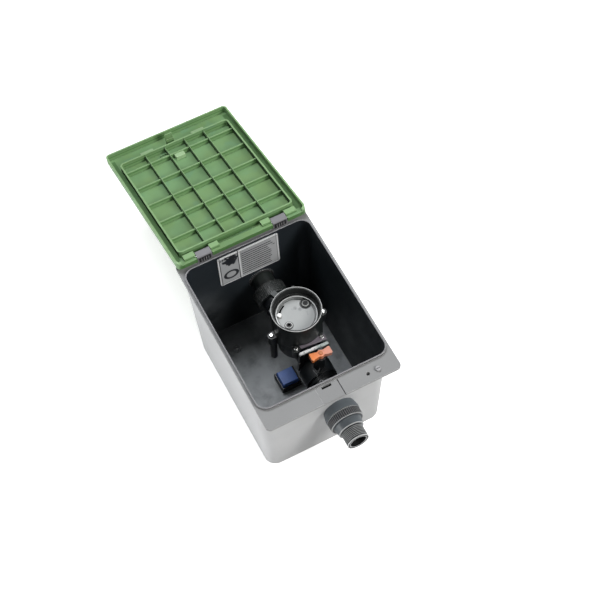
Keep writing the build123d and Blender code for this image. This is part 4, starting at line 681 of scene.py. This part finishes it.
# Each by where it lies along the pipe, from the sleeve's end, and by its radius
THREAD_ALONG = mm(20.3, 19.9, past=sleeve_low.y)
ROOT_RADIUS = mm(13.0, 16.0)
CREST_RADIUS = mm(16.0, 16.35)
RIM_ALONG, RIM_RADIUS = mm(0.7, 0.3, past=sleeve_low.y), mm(15.2, 15.6)
LIP_ALONG, LIP_RADIUS = mm(0.4, 0.2, past=sleeve_low.y), mm(12.3, 13.2)
SHOULDER_ALONG, SHOULDER_RADIUS = mm(19.8, 20.7, past=sleeve_low.y), mm(18.0, 18.4)
BORE_ALONG, BORE_RADIUS = mm(0.1, 0.4, past=sleeve_low.y), mm(12.45, 12.38)


def pipe_paint(net, tint):
    """Painted highlights on the thread's crests, the end rim, the lip and the shoulder, painted shade in the
    thread's roots and down the bore.
    """
    place = net.place()
    along = place["Y"]
    radius = net.away(place["X"], place["Z"], (PIPE_X, PIPE_Z))
    thread = net.fade(along, *THREAD_ALONG)
    root = net.both(thread, net.band(radius, *ROOT_RADIUS))
    crest = net.both(thread, net.fade(radius, *CREST_RADIUS))
    rim = net.both(net.fade(along, *RIM_ALONG), net.fade(radius, *RIM_RADIUS))
    lip = net.both(net.fade(along, *LIP_ALONG), net.band(radius, *LIP_RADIUS))
    shoulder = net.both(net.band(along, *SHOULDER_ALONG), net.fade(radius, *SHOULDER_RADIUS))
    bore = net.both(net.fade(radius, *BORE_RADIUS), net.fade(along, *BORE_ALONG))
    # Painted shade in the roots and the bore, painted highlights on the crests, rims and shoulder
    tint = net.blend(root, tint, ROOT_SHADE)
    tint = net.blend(net.both(crest, CREST_SHARE), tint, CREST_HIGHLIGHT)
    tint = net.blend(net.either(rim, shoulder, lip), tint, RIM_HIGHLIGHT)
    return net.blend(bore, tint, SHADE), 0.0


NUT_RIBS = 52
# Painted highlights on the tops of the ribs, by radius and by their part of a rib's step, then painted shade
# in the gaps and painted highlights on the end rims
RIB_TOP_RADIUS, RIB_TOP_PART, RIB_TOP_SOFT = mm(24.8, 25.0), (0.34, 0.66), 0.04
RIB_TOP_HIGHLIGHT, RIB_TOP_SHARE = (0.27, 0.28, 0.29), 0.7
BETWEEN_RADIUS = mm(22.5, 23.0)
NUT_END_ALONG = (mm(1.2, 0.8, past=nut_low.y), mm(-1.2, -0.8, past=nut_high.y))
NUT_END_RADIUS, NUT_END_SHARE = mm(23.6, 24.0), 0.85


def nut_paint(net, tint):
    """Painted highlights on the tops of the grip ribs and on the end rims, painted shade between the ribs."""
    place = net.place()
    radius = net.away(place["X"], place["Z"], (PIPE_X, PIPE_Z))
    upright = net.maths("SUBTRACT", place["Z"], PIPE_Z)
    sideways = net.maths("SUBTRACT", place["X"], PIPE_X)
    angle = net.maths("ARCTAN2", upright, sideways)
    steps = net.maths("MULTIPLY_ADD", angle, NUT_RIBS / (2 * math.pi), 0.5 + NUT_RIBS)
    in_step = net.band(net.maths("FRACT", steps), *RIB_TOP_PART, RIB_TOP_SOFT)
    tops = net.both(net.fade(radius, *RIB_TOP_RADIUS), in_step)
    ends = net.both(net.either(*(net.fade(place["Y"], *end) for end in NUT_END_ALONG)),
                    net.fade(radius, *NUT_END_RADIUS))
    tint = net.blend(net.fade(radius, *BETWEEN_RADIUS), tint, SHADE)
    tint = net.blend(net.both(tops, RIB_TOP_SHARE), tint, RIB_TOP_HIGHLIGHT)
    return net.blend(net.both(ends, NUT_END_SHARE), tint, RIM_HIGHLIGHT), 0.0


DISC_RIM, DISC_RIM_RADIUS = (0.60, 0.61, 0.61), mm(28.2, 28.5)
DISC_LINE, DISC_LINE_RADIUS = (0.012, 0.012, 0.013), mm(26.2, 27.0)
# The line is wider on the right
WIDER_ACROSS = mm(6, 12, past=PIPE_X)
WIDER_RADIUS, WIDER_SOFT = mm(25.2, 27.4), 0.3 * MM
# Dark rings round the port and the socket: middle and radius
DISC_HOLES = ((PORT_AT, mm(8.8, 8.2)), (SOCKET_AT, mm(6.8, 6.2)))
SMUDGES, SMUDGE_RADIUS = (mm(21.9, 11.7), mm(27.4, 6.9)), mm(4.2, 0.8)
SMUDGE_GREY, SMUDGE_SHARE = (0.10, 0.10, 0.105), 0.65


def disc_paint(net, tint):
    """Bright rim and a dark line inside it, with two faint smudges near the middle."""
    place = net.place()
    across, along = place["X"], place["Y"]
    radius = net.away(across, along, CUP_AT)
    wider = net.both(net.fade(across, *WIDER_ACROSS), net.band(radius, *WIDER_RADIUS, WIDER_SOFT))
    holes = (net.fade(net.away(across, along, at), *reach) for at, reach in DISC_HOLES)
    line = net.either(net.band(radius, *DISC_LINE_RADIUS), wider, *holes)
    for at in SMUDGES:
        smudge = net.fade(net.away(across, along, at), *SMUDGE_RADIUS)
        tint = net.blend(net.both(smudge, SMUDGE_SHARE), tint, SMUDGE_GREY)
    tint = net.blend(line, tint, DISC_LINE)
    return net.blend(net.fade(radius, *DISC_RIM_RADIUS), tint, DISC_RIM), 0.0


CUP_RIM_DARK, CUP_RIM_HIGHLIGHT = (0.02, 0.02, 0.021), (0.62, 0.63, 0.62)
CUP_RIM_UP, CUP_RIM_RADIUS = mm(-1.2, -0.8, past=bonnet_high.z), mm(35.35, 35.6)
CUP_INNER_SHADE = (0.006, 0.007, 0.007)
CUP_INNER_UP, CUP_INNER_RADIUS, CUP_INNER_ROUGH = mm(165, 166), mm(34.5, 34.0), 0.35


def bonnet_paint(net, tint):
    """The cup's rim with a painted highlight at its outer edge only, and its inner side darker as painted
    shade, and duller.
    """
    place = net.place()
    radius = net.away(place["X"], place["Y"], CUP_AT)
    rim = net.fade(place["Z"], *CUP_RIM_UP)
    tint = net.blend(rim, tint, CUP_RIM_DARK)
    rim = net.both(rim, net.fade(radius, *CUP_RIM_RADIUS))
    inner = net.both(net.fade(radius, *CUP_INNER_RADIUS), net.fade(place["Z"], *CUP_INNER_UP))
    tint = net.blend(inner, tint, CUP_INNER_SHADE)
    return net.blend(rim, tint, CUP_RIM_HIGHLIGHT), net.both(inner, CUP_INNER_ROUGH)


PORT_MIDDLE, PORT_MIDDLE_RADIUS = (0.55, 0.55, 0.54), mm(2.6, 1.8)
PORT_RING_HIGHLIGHT, PORT_RING_RADIUS = (0.40, 0.41, 0.40), mm(4.1, 5.2)


def port_paint(net, tint):
    """Bright middle of the pilot port in a black ring, with a pale line painted as a highlight."""
    place = net.place()
    radius = net.away(place["X"], place["Y"], PORT_AT)
    tint = net.blend(net.fade(radius, *PORT_MIDDLE_RADIUS), tint, PORT_MIDDLE)
    return net.blend(net.band(radius, *PORT_RING_RADIUS), tint, PORT_RING_HIGHLIGHT), 0.0


SOCKET_RING, SOCKET_RING_RADIUS = (0.60, 0.61, 0.60), mm(4.2, 4.9)
SOCKET_HOLE_RADIUS = mm(4.2, 4.0)
SOCKET_TOP_FROM = mm(-0.6, -0.3, past=socket_high.z)


def contact_paint(net, tint):
    """Pale ring round the socket's black hole."""
    place = net.place()
    radius = net.away(place["X"], place["Y"], SOCKET_AT)
    tint = net.blend(net.fade(radius, *SOCKET_HOLE_RADIUS), tint, SHADE)
    ring = net.both(net.band(radius, *SOCKET_RING_RADIUS), net.fade(place["Z"], *SOCKET_TOP_FROM))
    return net.blend(ring, tint, SOCKET_RING), 0.0


# edge and edge_colour set the worn, painted highlights on outer edges; corner sets the painted shade in
# corners
FINISH_VALUES = {
    "tub_plastic": dict(colour=TUB_GREY, rough=0.5, blotch=0.05, edge=0.85, edge_colour=(0.78, 0.79, 0.80),
                        corner=0.5, paint=tub_paint),
    "lid_plastic": dict(colour=LID_GREEN, rough=0.45, blotch=0.10, edge=0.7, edge_colour=(0.38, 0.58, 0.30),
                        corner=0.5, corner_reach=2.2 * MM, paint=lid_paint),
    "latch_plastic": dict(colour=(0.188, 0.19, 0.192), rough=0.45, blotch=0.05),
    "screw_steel": dict(colour=(0.75, 0.75, 0.74), rough=0.25, metal=1.0, grain=600.0, depth=0.01 * MM,
                        edge=0.2),
    "lever_screw": dict(colour=(0.42, 0.15, 0.06), rough=0.45, edge=0.3),
    "screw_grey": dict(colour=(0.28, 0.28, 0.29), rough=0.4, blotch=0.05),
    "label_plate": dict(colour=(0.46, 0.47, 0.48), rough=0.4, blotch=0.06, edge=0.8,
                        edge_colour=(0.85, 0.86, 0.87), paint=label_paint),
    "valve_black": dict(colour=(0.007, 0.009, 0.011), rough=0.42, blotch=0.3, edge=0.5,
                        edge_colour=(0.13, 0.15, 0.15)),
    "bonnet_black": dict(colour=(0.009, 0.012, 0.012), rough=0.38, blotch=0.3, edge=0.45,
                         edge_colour=(0.45, 0.46, 0.45), paint=bonnet_paint),
    "port_black": dict(colour=(0.010, 0.010, 0.011), rough=0.4, edge=0.3, edge_colour=(0.5, 0.5, 0.5),
                       paint=port_paint),
    "brow_grey": dict(colour=(0.150, 0.130, 0.155), rough=0.4, blotch=0.2, edge=0.6,
                      edge_colour=(0.40, 0.40, 0.42)),
    "socket_black": dict(colour=(0.012, 0.012, 0.013), rough=0.35, blotch=0.3, edge=0.6,
                         edge_colour=(0.4, 0.4, 0.4), paint=contact_paint),
    "outlet_grey": dict(colour=(0.076, 0.090, 0.101), rough=0.45, blotch=0.2, edge=0.3, corner=0.2,
                        edge_colour=(0.40, 0.42, 0.44), paint=pipe_paint),
    "nut_grey": dict(colour=(0.065, 0.075, 0.083), rough=0.42, blotch=0.15, edge=0.05, corner=0.2,
                     edge_colour=(0.40, 0.42, 0.44), paint=nut_paint),
    "line_grey": dict(colour=(0.12, 0.125, 0.13), rough=0.45, blotch=0.1),
    "nut_black": dict(colour=(0.02, 0.02, 0.022), rough=0.4, blotch=0.2, edge=0.6,
                      edge_colour=(0.3, 0.3, 0.3)),
    "inlet_black": dict(colour=(0.012, 0.016, 0.015), rough=0.4, blotch=0.2, edge=0.6,
                        edge_colour=(0.3, 0.3, 0.3)),
    "disc_grey": dict(colour=(0.255, 0.265, 0.263), rough=0.3, blotch=0.08, paint=disc_paint),
    "white_plastic": dict(colour=(0.80, 0.80, 0.78), rough=0.3, blotch=0.04),
    "lever_orange": dict(colour=(0.68, 0.19, 0.045), rough=0.35, blotch=0.3, edge=0.6,
                         edge_colour=(0.95, 0.58, 0.42), paint=lever_paint),
    "clip_strip": dict(colour=(0.50, 0.56, 0.55), rough=0.35, blotch=0.08, edge=0.1, paint=clip_paint),
    "drain_black": dict(colour=(0.012, 0.013, 0.013), rough=0.4, blotch=0.2),
    "cap_blue": dict(colour=(0.065, 0.150, 0.46), rough=0.45, blotch=0.2, edge=0.8,
                     edge_colour=(0.42, 0.48, 0.62)),
    "seal_rubber": dict(colour=(0.02, 0.02, 0.02), rough=0.75, blotch=0.2, edge=0.15),
    "ball_chrome": dict(colour=(0.8, 0.8, 0.8), rough=0.15, metal=1.0, depth=0.005 * MM, edge=0.1),
    "opening_shade": dict(colour=(0.012, 0.012, 0.013), rough=0.7, blotch=0.1, edge=0.0),
    "lid_highlight_green": dict(colour=(0.30, 0.45, 0.245), rough=0.4, blotch=0.08, edge=0.5,
                     edge_colour=(0.6, 0.75, 0.5)),
}
MATERIALS = {name: finish_material(name, **values) for name, values in FINISH_VALUES.items()}

# Material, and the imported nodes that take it
FINISHES = {
    "tub_plastic": ("box_body",),
    "latch_plastic": ("latch_plate",),
    "lid_plastic": ("lid",),
    "screw_steel": ("lid_hinge_pin_left", "lid_hinge_pin_right", "diaphragm_spring", "bonnet_screws",
                    "plunger_spring"),
    "lever_screw": ("lever_screw",),
    "screw_grey": ("lid_lock_screw",),
    "label_plate": ("back_label",),
    "valve_black": ("valve_body", "ball_valve_body"),
    "bonnet_black": ("bonnet", "pilot_plunger"),
    "port_black": ("pilot_port",),
    "socket_black": ("contact_socket",),
    "outlet_grey": ("outlet_collar", "telescopic_sleeve"),
    "nut_grey": ("outlet_union_nut",),
    "inlet_black": ("inlet_tail", "inlet_union_nut"),
    "nut_black": ("collar_ring_nut", "ball_stem"),
    "disc_grey": ("socket_disc",),
    "white_plastic": ("manual_lever", "diaphragm_plate", "ball_seats"),
    "lever_orange": ("shutoff_lever",),
    "clip_strip": ("outlet_clip",),
    "drain_black": ("drain_frame", "drain_filter"),
    "cap_blue": ("drain_cap",),
    "seal_rubber": ("wall_seal_front", "wall_seal_back", "inlet_gasket", "diaphragm", "gland_seal",
                    "sleeve_o_rings", "stem_o_ring"),
    "ball_chrome": ("ball",),
}


def finish_nodes():
    """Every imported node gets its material."""
    done = set()
    for material, names in FINISHES.items():
        for name in names:
            data = nodes[name].data
            data.materials.clear()
            data.materials.append(MATERIALS[material])
            done.add(name)
    missing = set(nodes) - done
    if missing:
        raise ValueError("nodes without a material: " + ", ".join(sorted(missing)))


# New pieces


def between(bm, low, high):
    """Corners of a new plain block between two places."""
    made = bmesh.ops.create_cube(bm, size=1.0)["verts"]
    bmesh.ops.scale(bm, vec=high - low, verts=made)
    bmesh.ops.translate(bm, vec=(high + low) / 2, verts=made)
    return made


def round_edges(bm, edges, width):
    bmesh.ops.bevel(bm, geom=edges, offset=width, segments=2, profile=0.5, affect="EDGES", material=-1)


def add_block(bm, low, high, bevel):
    """A block with rounded edges, between two places in mm."""
    made = between(bm, Vector(mm(*low)), Vector(mm(*high)))
    round_edges(bm, list({edge for vert in made for edge in vert.link_edges}), bevel)


def add_tray(bm, low, high, wall, floor):
    """A block hollowed from above, between two places in mm, with an even wall and a floor."""
    low, high = Vector(mm(*low)), Vector(mm(*high))
    made = between(bm, low, high)
    faces = {face for vert in made for face in vert.link_faces}
    top = max(faces, key=lambda face: face.calc_center_median().z)
    bmesh.ops.inset_region(bm, faces=[top], thickness=wall, use_even_offset=True)
    inner = bmesh.ops.extrude_discrete_faces(bm, faces=[top])["faces"][0]
    bmesh.ops.translate(bm, vec=(0, 0, floor - (high - low).z), verts=inner.verts)


def add_turned(bm, profile, at, up=(0, 0, 1), steps=32):
    """A profile of (radius, height) points in mm, spun about an axis through at."""
    verts = [bm.verts.new((radius * MM, 0, height * MM)) for radius, height in profile]
    edges = [bm.edges.new(pair) for pair in zip(verts, verts[1:])]
    if profile[0][0] > 0:
        edges.append(bm.edges.new((verts[-1], verts[0])))
    bmesh.ops.spin(bm, geom=verts + edges, axis=(0, 0, 1), cent=(0, 0, 0), dvec=(0, 0, 0),
                   angle=2 * math.pi, steps=steps, use_merge=True, use_duplicate=False)
    bmesh.ops.remove_doubles(bm, verts=list(bm.verts), dist=1e-6)
    turn = Vector((0, 0, 1)).rotation_difference(Vector(up)).to_matrix().to_4x4()
    bmesh.ops.transform(bm, matrix=Matrix.Translation(at) @ turn, verts=list(bm.verts))


def make_piece(name, bm, material, body):
    """Ends a bmesh as a piece that rides on a body."""
    bmesh.ops.recalc_face_normals(bm, faces=list(bm.faces))
    mesh = bpy.data.meshes.new(name)
    bm.to_mesh(mesh)
    bm.free()
    mesh.materials.append(MATERIALS[material])
    piece = bpy.data.objects.new(name, mesh)
    bpy.context.scene.collection.objects.link(piece)
    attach(piece, body)


# Hinge hooks: their middles and their front face, a window's corners and its slats' middles, in mm
HOOKS_AT = (-59.5, 59.5)
HOOK_FACE = 127.5
HOOK_WINDOW = ((-9.0, 196.4), (9.0, 206.6))
HOOK_SLATS = (-5.4, -1.8, 1.8, 5.4)
SLAT_HALF = 0.5
SLAT_FOOT, SLAT_TOP = HOOK_WINDOW[0][1] + 0.6, HOOK_WINDOW[1][1] - 2.4
# Front and back of the windows and of the slats, from the hook's face
WINDOW_DEPTH = (-0.3, 0.6)
SLAT_DEPTH = (-1.0, 0.4)
HOOK_BEVEL = 0.2 * MM


def make_hook_fronts():
    """Windows with slats in the fronts of the two hinge hooks, filled dark as painted shade."""
    windows = bmesh.new()
    slats = bmesh.new()
    for hook in HOOKS_AT:
        (left, low), (right, high) = HOOK_WINDOW
        add_block(windows, (hook + left, HOOK_FACE + WINDOW_DEPTH[0], low),
                  (hook + right, HOOK_FACE + WINDOW_DEPTH[1], high), HOOK_BEVEL)
        for at in HOOK_SLATS:
            add_block(slats, (hook + at - SLAT_HALF, HOOK_FACE + SLAT_DEPTH[0], SLAT_FOOT),
                      (hook + at + SLAT_HALF, HOOK_FACE + SLAT_DEPTH[1], SLAT_TOP), HOOK_BEVEL)
    make_piece("hook_windows", windows, "opening_shade", "box")
    make_piece("hook_slats", slats, "screw_grey", "box")


# Pads and pocket at the lid's far end: low and high corner, in mm across, back from the pins and up
LID_PADS = (
    ((-10.0, 217.5, -2.6), (5.5, 226.8, 4.6)),
    ((-53.0, 252.0, -2.6), (-32.0, 262.0, 4.0)),
    ((32.0, 252.0, -2.6), (53.0, 262.0, 4.0)),
)
LID_PAD_BEVEL = 0.8 * MM
LID_POCKET = ((-28.5, 230.5, -2.6), (-14.5, 241.5, 0.6))
LID_POCKET_WALL, LID_POCKET_FLOOR = mm(1.1, 1.2)


def put_on_lid(bm):
    """Turns what was built across, back from the pins and up from them into the lid's place."""
    columns = (Vector((1, 0, 0)), LID_BACK, LID_UP)
    turn = Matrix([[column[row] for column in columns] for row in range(3)]).to_4x4()
    bmesh.ops.transform(bm, matrix=Matrix.Translation(PIN_AT) @ turn, verts=list(bm.verts))


def make_lid_end():
    """Raised pads near the lid's far end, lighter green as a painted highlight, and the rim of a small pocket
    beside them.
    """
    pads = bmesh.new()
    for low, high in LID_PADS:
        add_block(pads, low, high, LID_PAD_BEVEL)
    put_on_lid(pads)
    make_piece("lid_end_pads", pads, "lid_highlight_green", "lid")
    pocket = bmesh.new()
    add_tray(pocket, *LID_POCKET, LID_POCKET_WALL, LID_POCKET_FLOOR)
    put_on_lid(pocket)
    make_piece("lid_end_pocket", pocket, "lid_plastic", "lid")


# Corners of the pocket under the latch slot, in mm, its wall and its floor
LATCH_POCKET = ((-11.0, -132.2, 183.8), (6.2, -125.4, 191.0))
LATCH_POCKET_WALL, LATCH_POCKET_FLOOR = mm(1.2, 1.0)


def make_latch_pocket():
    """Pocket under the latch slot, deep enough for the lid's catch, dark as painted shade."""
    pocket = bmesh.new()
    add_tray(pocket, *LATCH_POCKET, LATCH_POCKET_WALL, LATCH_POCKET_FLOOR)
    make_piece("latch_pocket", pocket, "opening_shade", "box")


# Bonnet's straight front edge between its two front lugs: corners, foot and height, in mm
BROW = ((4.5, -37.8), (44.0, -41.2), (44.0, -32.5), (4.5, -30.0))
BROW_FOOT, BROW_HEIGHT = 143.5, 3.6
BROW_BEVEL = 0.6 * MM
# Ring round the pilot port, and the small screw beside it, as profiles in mm
PORT_COLLAR = ((5.2, 169.0), (5.2, 170.8), (5.7, 171.3), (6.7, 171.3), (7.2, 170.8), (7.2, 169.0))
SCREW_DOME = ((0.0, 2.0), (0.6, 1.9), (1.1, 1.4), (1.3, 0.7), (1.3, 0.0), (0.0, 0.0))
SCREW_FROM_PORT = Vector(mm(2.7, 7.8, 169.5))
SMALL_STEPS = 20


def make_bonnet_details():
    """Straight front edge of the bonnet, and the ring and the screw in its cup."""
    brow = bmesh.new()
    face = brow.faces.new([brow.verts.new(mm(x, y, BROW_FOOT)) for x, y in BROW])
    raised = bmesh.ops.extrude_face_region(brow, geom=[face])["geom"]
    upper = [item for item in raised if isinstance(item, bmesh.types.BMVert)]
    bmesh.ops.translate(brow, vec=mm(0, 0, BROW_HEIGHT), verts=upper)
    round_edges(brow, list(brow.edges), BROW_BEVEL)
    make_piece("bonnet_brow", brow, "brow_grey", "box")
    port = Vector((*PORT_AT, 0))
    collar = bmesh.new()
    add_turned(collar, PORT_COLLAR, port)
    make_piece("port_collar", collar, "bonnet_black", "box")
    screw = bmesh.new()
    add_turned(screw, SCREW_DOME, port + SCREW_FROM_PORT, steps=SMALL_STEPS)
    make_piece("port_screw", screw, "white_plastic", "box")


# Raised lines on the shut-off valve, as points in mm across and along it. Each is a bar with this
# half width, start, foot and top, in mm from its first point
VALVE_LINES = (((9.9, -63.2), (11.2, -72.9)), ((17.9, -69.3), (11.2, -72.9)), ((11.2, -72.9), (10.2, -80.2)))
BAR_HALF, BAR_START, BAR_FOOT, BAR_TOP = 0.5, -0.2, -0.6, 0.8
BAR_BEVEL = 0.2 * MM
# Eyelet on the valve and rivet on its clip: places, and profiles in mm
EYELET_AT = (12.4, -83.5)
EYELET = ((1.2, -1.0), (1.2, 0.8), (1.8, 1.2), (2.6, 0.6), (2.6, -1.0))
EYELET_STEPS = 24
RIVET_DOME = ((0.0, 1.1), (0.7, 1.0), (1.3, 0.6), (1.5, 0.0), (1.5, -0.6), (0.0, -0.6))
RIVET_AT = Vector((clip_low.x + 2.4 * MM, clip_low.y, 120 * MM))
RAY_FROM = 1.0


def on_valve(x, y):
    """Point on top of the shut-off valve's body, by a ray from above."""
    start = Vector((x * MM, y * MM, RAY_FROM))
    found, where, _, _ = nodes["ball_valve_body"].ray_cast(start, Vector((0, 0, -1)))
    if not found:
        raise ValueError("no valve body below the point")
    return where


def make_valve_details():
    """Moulded lines and an eyelet on top of the shut-off valve, and the rivet of its clip."""
    lines = bmesh.new()
    for start, end in VALVE_LINES:
        first = on_valve(*start)
        way = on_valve(*end) - first
        bar = bmesh.new()
        add_block(bar, (-BAR_HALF, BAR_START, BAR_FOOT), (BAR_HALF, way.length / MM, BAR_TOP), BAR_BEVEL)
        turn = way.to_track_quat("Y", "Z").to_matrix().to_4x4()
        bmesh.ops.transform(bar, matrix=Matrix.Translation(first) @ turn, verts=list(bar.verts))
        mesh = bpy.data.meshes.new("valve_line")
        bar.to_mesh(mesh)
        bar.free()
        lines.from_mesh(mesh)
        bpy.data.meshes.remove(mesh)
    make_piece("valve_lines", lines, "line_grey", "box")
    eyelet = bmesh.new()
    add_turned(eyelet, EYELET, on_valve(*EYELET_AT), steps=EYELET_STEPS)
    make_piece("valve_eyelet", eyelet, "screw_grey", "box")
    rivet = bmesh.new()
    add_turned(rivet, RIVET_DOME, RIVET_AT, up=(0, -1, 0), steps=SMALL_STEPS)
    make_piece("clip_rivet", rivet, "latch_plastic", "box")


place_camera()
place_lamps()
set_world()
lay_floor()
finish_nodes()
make_hook_fronts()
make_lid_end()
make_latch_pocket()
make_bonnet_details()
make_valve_details()
bpy.context.scene.view_settings.view_transform = "Standard"
